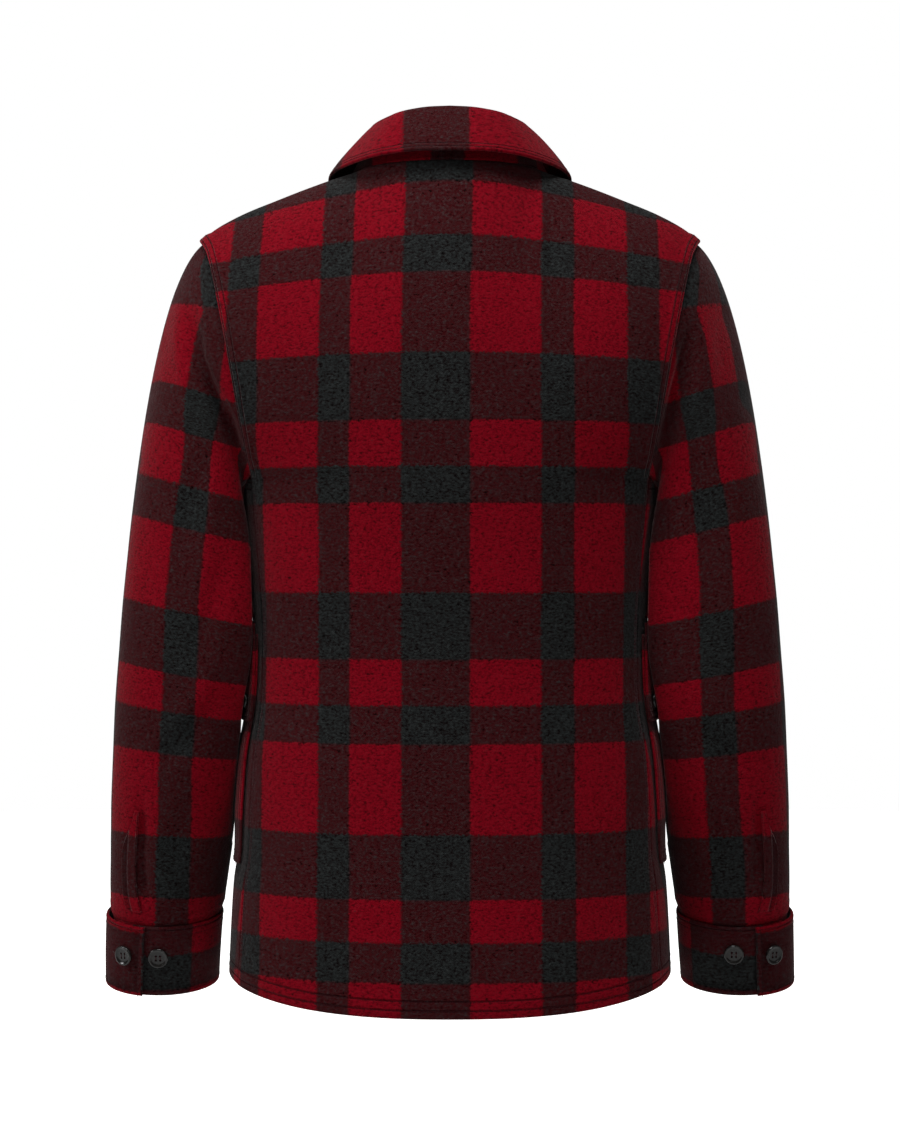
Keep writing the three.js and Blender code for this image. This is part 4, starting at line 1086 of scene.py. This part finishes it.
# Lower pockets
# On each front, from the side seam forwards: a bag sewn down on three sides, a flap with two buttons over
# its mouth, and above it the turned lip of the slit to the hand-warmer pocket behind.
PATCHES = {
    "pocket": dict(top=-408, bottom=-611, back=5, low=11, front=230, off=1.2, wall=2.2, count=(64, 60),
                   shift=(9, 6), sewn="low left right", rows=(3, 9)),
    "flap": dict(top=-398, bottom=-486, back=5, low=5, front=233, off=4.4, wall=2.4, count=(70, 30),
                 shift=(9, 6), sewn="low left right", rows=(3, 9)),
    "welt": dict(top=-347, bottom=-394, back=16, low=16, front=28, off=0.7, wall=2, count=(8, 26),
                 shift=(70, 30), sewn="left", rows=(3,)),
}
POCKET_STAND = 0.5
WELT_BOW = 2.5
POCKET_RIPPLE = 0.35


def from_seam(along):
    return FRONT.last - along / FRONT.length


def patch_grid(spec):
    columns, lines = spec["count"]
    t, s = np.meshgrid(np.linspace(0, 1, lines), np.linspace(0, 1, columns), indexing="ij")
    rear = spec["low"] + (spec["back"] - spec["low"]) * t
    p = from_seam(spec["front"] + (rear - spec["front"]) * s)
    v = FRONT.height_to_v(p, spec["bottom"] + (spec["top"] - spec["bottom"]) * t)
    return s, t, FRONT.point(p, v), FRONT.normal(p, v)


for side, sign in SIDES:
    for kind, spec in PATCHES.items():
        s, t, face, normals = patch_grid(spec)
        ripple = POCKET_RIPPLE * np.sin(s * 7 + 1) * np.sin(np.pi * t) * smooth(s * 5)
        away = {"pocket": POCKET_STAND * smooth(s * 4) * smooth(t * 5) + ripple, "flap": ripple,
                "welt": WELT_BOW * np.sin(np.pi * t) * s}[kind]
        warp = FRONT_WARP + sign * np.sign(face[..., 0]) * lengths(face, 1) + spec["shift"][0]
        cloth = np.stack([warp, weft_place(face, FRONT_DROP) + spec["shift"][1]], axis=-1)
        face = (face + normals * (spec["off"] + spec["wall"] + away)[..., None]) * (sign, 1, 1)
        normals = normals * (sign, 1, 1)
        rows = np.full(s.shape, NO_STITCH)
        for edge in spec["sewn"].split():
            axis, start = {"low": (0, 0), "left": (1, 0), "right": (1, s.shape[1] - 1)}[edge]
            first, second = (*spec["rows"], NO_SECOND)[:2]
            rows = np.minimum(rows, stitch_rows(np.abs(lengths(face, axis, start)), first, second))
            sew("front_thread_" + side, face, normals, edge, spec["rows"])
        piece = shell(f"{kind}_cloth_{side}", face, normals, spec["wall"], cloth, rows)
        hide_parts(f"{kind}_{side}")

# Buttons
# Turned resin buttons, dark and polished, with a raised rim and four holes: six on the front, two on each
# pocket flap and two on each cuff, all done up and sewn on with two strands of thread.
BUTTON_R = 9
SMALL_R = 7.5
HOLE_R = 1
HOLE_SPACING = 1.9
DISH = 1.86
BUTTON_PROFILE = ((-1.5, 0), (-0.5, 0.3), (-0.05, 1.2), (-0.15, 2.2), (-0.55, 2.85), (-1.1, 3.0),
                  (-1.7, 2.85), (-2.3, 2.3), (-3.1, 1.95), (-4.2, DISH))
BUTTON_SIDES = 64
HOLE_SIDES = 20
BUTTON_STAND = 0.6
FLAP_BUTTON_STAND = 1
CUFF_BUTTON_STAND = 1.2
DOWN_CUFF = (0.05, -0.16, -0.98)
STRAND_ENDS = (-2.2, -1.9, 1.9, 2.2)
FRONT_BUTTON_Z = (-96, -208, -320, -432, -544, -656)
FLAP_BUTTONS = ((18, -468), (212, -468))
CUFF_BUTTONS = {"left": ((414, 0.5), (88.5, 0.5)), "right": ((417, 0.52), (96, 0.55))}


def button_finish():
    button = Finish("button", **{"Roughness": 0.2, "Specular IOR Level": 0.12})
    swirl = button.noise(button.place(), 160, 3.0)
    tone = button.mix(swirl, (0.0015, 0.0015, 0.0015, 1), (0.0045, 0.0040, 0.0036, 1))
    button.feed(button.shader.inputs["Base Color"], tone)
    return button.material


BUTTON = button_finish()


def button_disc(r):
    """The disc with its four holes, seat down on z = 0, in millimetres."""
    mesh = bpy.data.meshes.new("disc")
    turns = np.linspace(0, math.tau, BUTTON_SIDES, endpoint=False)
    points = [(0, 0, 0)]
    for out, z in BUTTON_PROFILE:
        points += [((r + out) * math.cos(a), (r + out) * math.sin(a), z) for a in turns]
    points.append((0, 0, DISH))
    faces = []
    for k in range(BUTTON_SIDES):
        e = (k + 1) % BUTTON_SIDES
        faces.append((0, 1 + e, 1 + k))
        for level in range(len(BUTTON_PROFILE) - 1):
            a, b = 1 + level * BUTTON_SIDES, 1 + (level + 1) * BUTTON_SIDES
            faces.append((a + k, a + e, b + e, b + k))
        a = 1 + (len(BUTTON_PROFILE) - 1) * BUTTON_SIDES
        faces.append((a + k, a + e, len(points) - 1))
    mesh.from_pydata(points, [], faces)
    drill = bpy.data.meshes.new("drill")
    points, faces = [], []
    n = HOLE_SIDES
    for x, y in ((x, y) for x in (-HOLE_SPACING, HOLE_SPACING) for y in (-HOLE_SPACING, HOLE_SPACING)):
        first = len(points)
        hole = [(x + HOLE_R * math.cos(a), y + HOLE_R * math.sin(a)) for a in np.arange(n) * math.tau / n]
        points += [(*at, -2) for at in hole] + [(*at, 6) for at in hole]
        faces += [tuple(first + i for i in reversed(range(n))), tuple(first + n + i for i in range(n))]
        faces += [(first + i, first + (i + 1) % n, first + n + (i + 1) % n, first + n + i) for i in range(n)]
    drill.from_pydata(points, [], faces)
    disc, bits = put("disc", mesh), put("drill", drill)
    cut = disc.modifiers.new("holes", "BOOLEAN")
    cut.operation, cut.solver, cut.object = "DIFFERENCE", "EXACT", bits
    done = bpy.data.meshes.new_from_object(disc.evaluated_get(bpy.context.evaluated_depsgraph_get()))
    for piece in (disc, bits):
        bpy.data.objects.remove(piece)
    return done


discs = {r: button_disc(r) for r in (BUTTON_R, SMALL_R)}
button_threads = []


def button(name, at, normal, up, r=BUTTON_R):
    z = Vector(normal).normalized()
    x = Vector(up).cross(z).normalized()
    place = Matrix((x, z.cross(x), z)).transposed().to_4x4()
    place.translation = Vector(at)
    mesh = discs[r].copy()
    mesh.transform(Matrix.Scale(MM, 4) @ place)
    mesh.shade_smooth()
    mesh.set_sharp_from_angle(angle=math.radians(50))
    mesh.materials.clear()
    mesh.materials.append(BUTTON)
    piece = put(name + "_disc", mesh)
    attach(piece, "root")
    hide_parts(name)
    for x in (-HOLE_SPACING, HOLE_SPACING):
        spots = [Vector((x, y, DISH - 0.05 - 0.9 * (abs(y) > 2))) for y in STRAND_ENDS]
        button_threads.append([place @ spot for spot in spots])


for number, z in enumerate(FRONT_BUTTON_Z, 1):
    if z > UNDERARM_Z:
        v = 1 + (z - UNDERARM_Z) / (NECK_FRONT[0][2] - UNDERARM_Z)
    else:
        v = float(FRONT.height_to_v(np.array(0.0), z))
    at, n = off_front(0.0, v, LAP_RISE + BUTTON_STAND)
    button(f"front_button_{number}", at, n, (0, 0, 1))
for side, sign in SIDES:
    for number, (along, z) in enumerate(FLAP_BUTTONS, 1):
        p = from_seam(along)
        v = float(FRONT.height_to_v(np.array(p), z))
        at, n = off_front(p, v, PATCHES["flap"]["off"] + PATCHES["flap"]["wall"] + FLAP_BUTTON_STAND)
        button(f"flap_button_{side}_{number}", at * (sign, 1, 1), n * (sign, 1, 1), (0, 0, 1), SMALL_R)
    for number, (angle, t) in enumerate(CUFF_BUTTONS[side], 1):
        at = cuff_point(angle, t, cuff_rise(angle))
        a = cuff_point(angle + 2, t, cuff_rise(angle)) - cuff_point(angle - 2, t, cuff_rise(angle))
        n = -unit(np.cross(a, DOWN_CUFF))
        at, n = (at + n * CUFF_BUTTON_STAND) * (sign, 1, 1), n * (sign, 1, 1)
        button(f"cuff_button_{side}_{number}", at, n, (0, 0, 1))

# Topstitching
# Lockstitch in dark thread, about eight stitches to the inch, on every row sewn above, and the strands that
# hold the buttons.
STITCH_PITCH = 3.2 * MM
STITCH_LENGTH = 2.9 * MM
THREAD_R = 0.27 * MM
STRAND_PITCH = 0.35 * MM
STRAND_LENGTH = 0.7 * MM
STRAND_R = 0.34 * MM


def thread_finish():
    thread = Finish("thread", **{"Roughness": 1.0, "Specular IOR Level": 0.02})
    fuzz = thread.noise(thread.place(), 2200, 1.0)
    tone = thread.mix(fuzz, (0.006, 0.0008, 0.0012, 1), (0.016, 0.0018, 0.003, 1))
    thread.feed(thread.shader.inputs["Base Color"], tone)
    return thread.material


THREAD = thread_finish()


def stitch_tree():
    """Lays short strands of thread along every line of the mesh that it is given."""
    tree = bpy.data.node_groups.new("stitches", "GeometryNodeTree")
    tree.interface.new_socket("Geometry", in_out="INPUT", socket_type="NodeSocketGeometry")
    for name in ("Pitch", "Length", "Radius"):
        tree.interface.new_socket(name, in_out="INPUT", socket_type="NodeSocketFloat")
    tree.interface.new_socket("Geometry", in_out="OUTPUT", socket_type="NodeSocketGeometry")

    def node(kind, inputs=None, **settings):
        made = tree.nodes.new(kind)
        for name, value in settings.items():
            setattr(made, name, value)
        for name, value in (inputs or {}).items():
            if isinstance(value, bpy.types.NodeSocket):
                tree.links.new(value, made.inputs[name])
            else:
                made.inputs[name].default_value = value
        return made

    given = node("NodeGroupInput").outputs
    curve = node("GeometryNodeMeshToCurve", {"Mesh": given["Geometry"]})
    spaced = {"Curve": curve.outputs[0], "Length": given["Pitch"]}
    even = node("GeometryNodeResampleCurve", spaced, mode="LENGTH")
    along = node("GeometryNodeInputTangent")
    turn = node("FunctionNodeAlignRotationToVector", {"Vector": along.outputs[0]}, axis="X")
    ball = node("GeometryNodeMeshUVSphere", {"Segments": 6, "Rings": 4, "Radius": 1.0})
    half = node("ShaderNodeMath", {0: given["Length"], 1: 0.5}, operation="MULTIPLY")
    size = node("ShaderNodeCombineXYZ", {0: half.outputs[0], 1: given["Radius"], 2: given["Radius"]})
    vary = node("FunctionNodeRandomValue", {"Min": (0.9, 0.9, 0.9), "Max": (1.06, 1.1, 1.1), "Seed": 7},
                data_type="FLOAT_VECTOR")
    uneven = node("ShaderNodeVectorMath", {0: size.outputs[0], 1: vary.outputs[0]}, operation="MULTIPLY")
    laid = node("GeometryNodeInstanceOnPoints", {
        "Points": even.outputs[0], "Instance": ball.outputs[0], "Rotation": turn.outputs[0],
        "Scale": uneven.outputs[0]})
    real = node("GeometryNodeRealizeInstances", {"Geometry": laid.outputs[0]})
    soft = node("GeometryNodeSetShadeSmooth", {0: real.outputs[0]})
    dyed = node("GeometryNodeSetMaterial", {"Geometry": soft.outputs[0], "Material": THREAD})
    node("NodeGroupOutput", {"Geometry": dyed.outputs[0]})
    return tree


STITCHES = stitch_tree()


def lay_thread(name, paths, pitch, length, radius):
    mesh = bpy.data.meshes.new(name)
    points, edges = [], []
    for path in paths:
        edges += [(len(points) + i, len(points) + i + 1) for i in range(len(path) - 1)]
        points += [[c * MM for c in at] for at in path]
    mesh.from_pydata(points, edges, [])
    guide = put(name, mesh)
    layer = guide.modifiers.new("stitches", "NODES")
    layer.node_group = STITCHES
    values = {"Pitch": pitch, "Length": length, "Radius": radius}
    for socket in STITCHES.interface.items_tree:
        if socket.in_out == "INPUT" and socket.name in values:
            layer[socket.identifier] = values[socket.name]
    guide.update_tag()
    done = bpy.data.meshes.new_from_object(guide.evaluated_get(bpy.context.evaluated_depsgraph_get()))
    guide.modifiers.remove(layer)
    guide.data = done
    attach(guide, "root")


for group, paths in thread_paths.items():
    lay_thread(group, paths, STITCH_PITCH, STITCH_LENGTH, THREAD_R)
lay_thread("button_thread", button_threads, STRAND_PITCH, STRAND_LENGTH, STRAND_R)

# Floor and light
# A pale floor in a white room, as in a shop's studio, and three large soft lamps: strong ones at the
# wearer's left and overhead, and a weaker one at the right, on the camera's side.
FLOOR_Z = -1.15
FLOOR_R = 6.0
FLOOR_SIDES = 96
FLOOR_WHITE_FROM, FLOOR_WHITE_TO = 1.95, 3.0
LAMPS = (
    ("key", (2.7, 1.0, 0.8), 1.2, 130),
    ("fill", (-1.7, 2.0, 1.3), 1.2, 31),
    ("crown", (0.1, 0.9, 1.9), 1.2, 156),
)
LAMP_AIM = (0, 0, -0.35)
ROOM_LIGHT = 0.16
WALL_FROM, WALL_TO = -0.86, -0.6
floor_mesh = bpy.data.meshes.new("floor")
turns = np.linspace(0, math.tau, FLOOR_SIDES, endpoint=False)
rim = [(FLOOR_R * math.cos(a), FLOOR_R * math.sin(a), FLOOR_Z) for a in turns]
floor_mesh.from_pydata(rim, [], [tuple(range(FLOOR_SIDES))])
pale = Finish("floor", **{"Base Color": (0.92, 0.92, 0.92, 1), "Roughness": 0.9,
                          "Emission Color": (1, 1, 1, 1), "Emission Strength": 0.75})
away = pale.value("ShaderNodeVectorMath", {"operation": "LENGTH"}, {0: pale.place()}, output=1)
far = pale.value("ShaderNodeMapRange", None,
                 {"Value": away, "From Min": FLOOR_WHITE_FROM, "From Max": FLOOR_WHITE_TO})
pale.feed(pale.shader.inputs["Emission Color"], pale.mix(far, (0.1, 0.1, 0.1, 1), (1, 1, 1, 1)))
floor_mesh.materials.append(pale.material)
floor = put("floor", floor_mesh)
for name, at, size, watts in LAMPS:
    light = bpy.data.lights.new(name, "AREA")
    light.shape, light.size, light.energy = "DISK", size, watts
    lamp = put(name, light)
    lamp.location = at
    lamp.rotation_euler = (Vector(LAMP_AIM) - Vector(at)).to_track_quat("-Z", "Y").to_euler()
room = bpy.data.worlds.new("room")
room.use_nodes = True
glow = room.node_tree.nodes["Background"]
facing = room.node_tree.nodes.new("ShaderNodeSeparateXYZ")
seen = room.node_tree.nodes.new("ShaderNodeTexCoord")
shade = room.node_tree.nodes.new("ShaderNodeMapRange")
room.node_tree.links.new(seen.outputs["Generated"], facing.inputs[0])
room.node_tree.links.new(facing.outputs["Y"], shade.inputs["Value"])
ranges = {"From Min": WALL_FROM, "From Max": WALL_TO, "To Min": 1.0, "To Max": ROOM_LIGHT}
for name, value in ranges.items():
    shade.inputs[name].default_value = value
room.node_tree.links.new(shade.outputs["Result"], glow.inputs["Strength"])
glow.inputs["Color"].default_value = (1, 1, 1, 1)
bpy.context.scene.world = room
bpy.context.scene.view_settings.view_transform = "Standard"
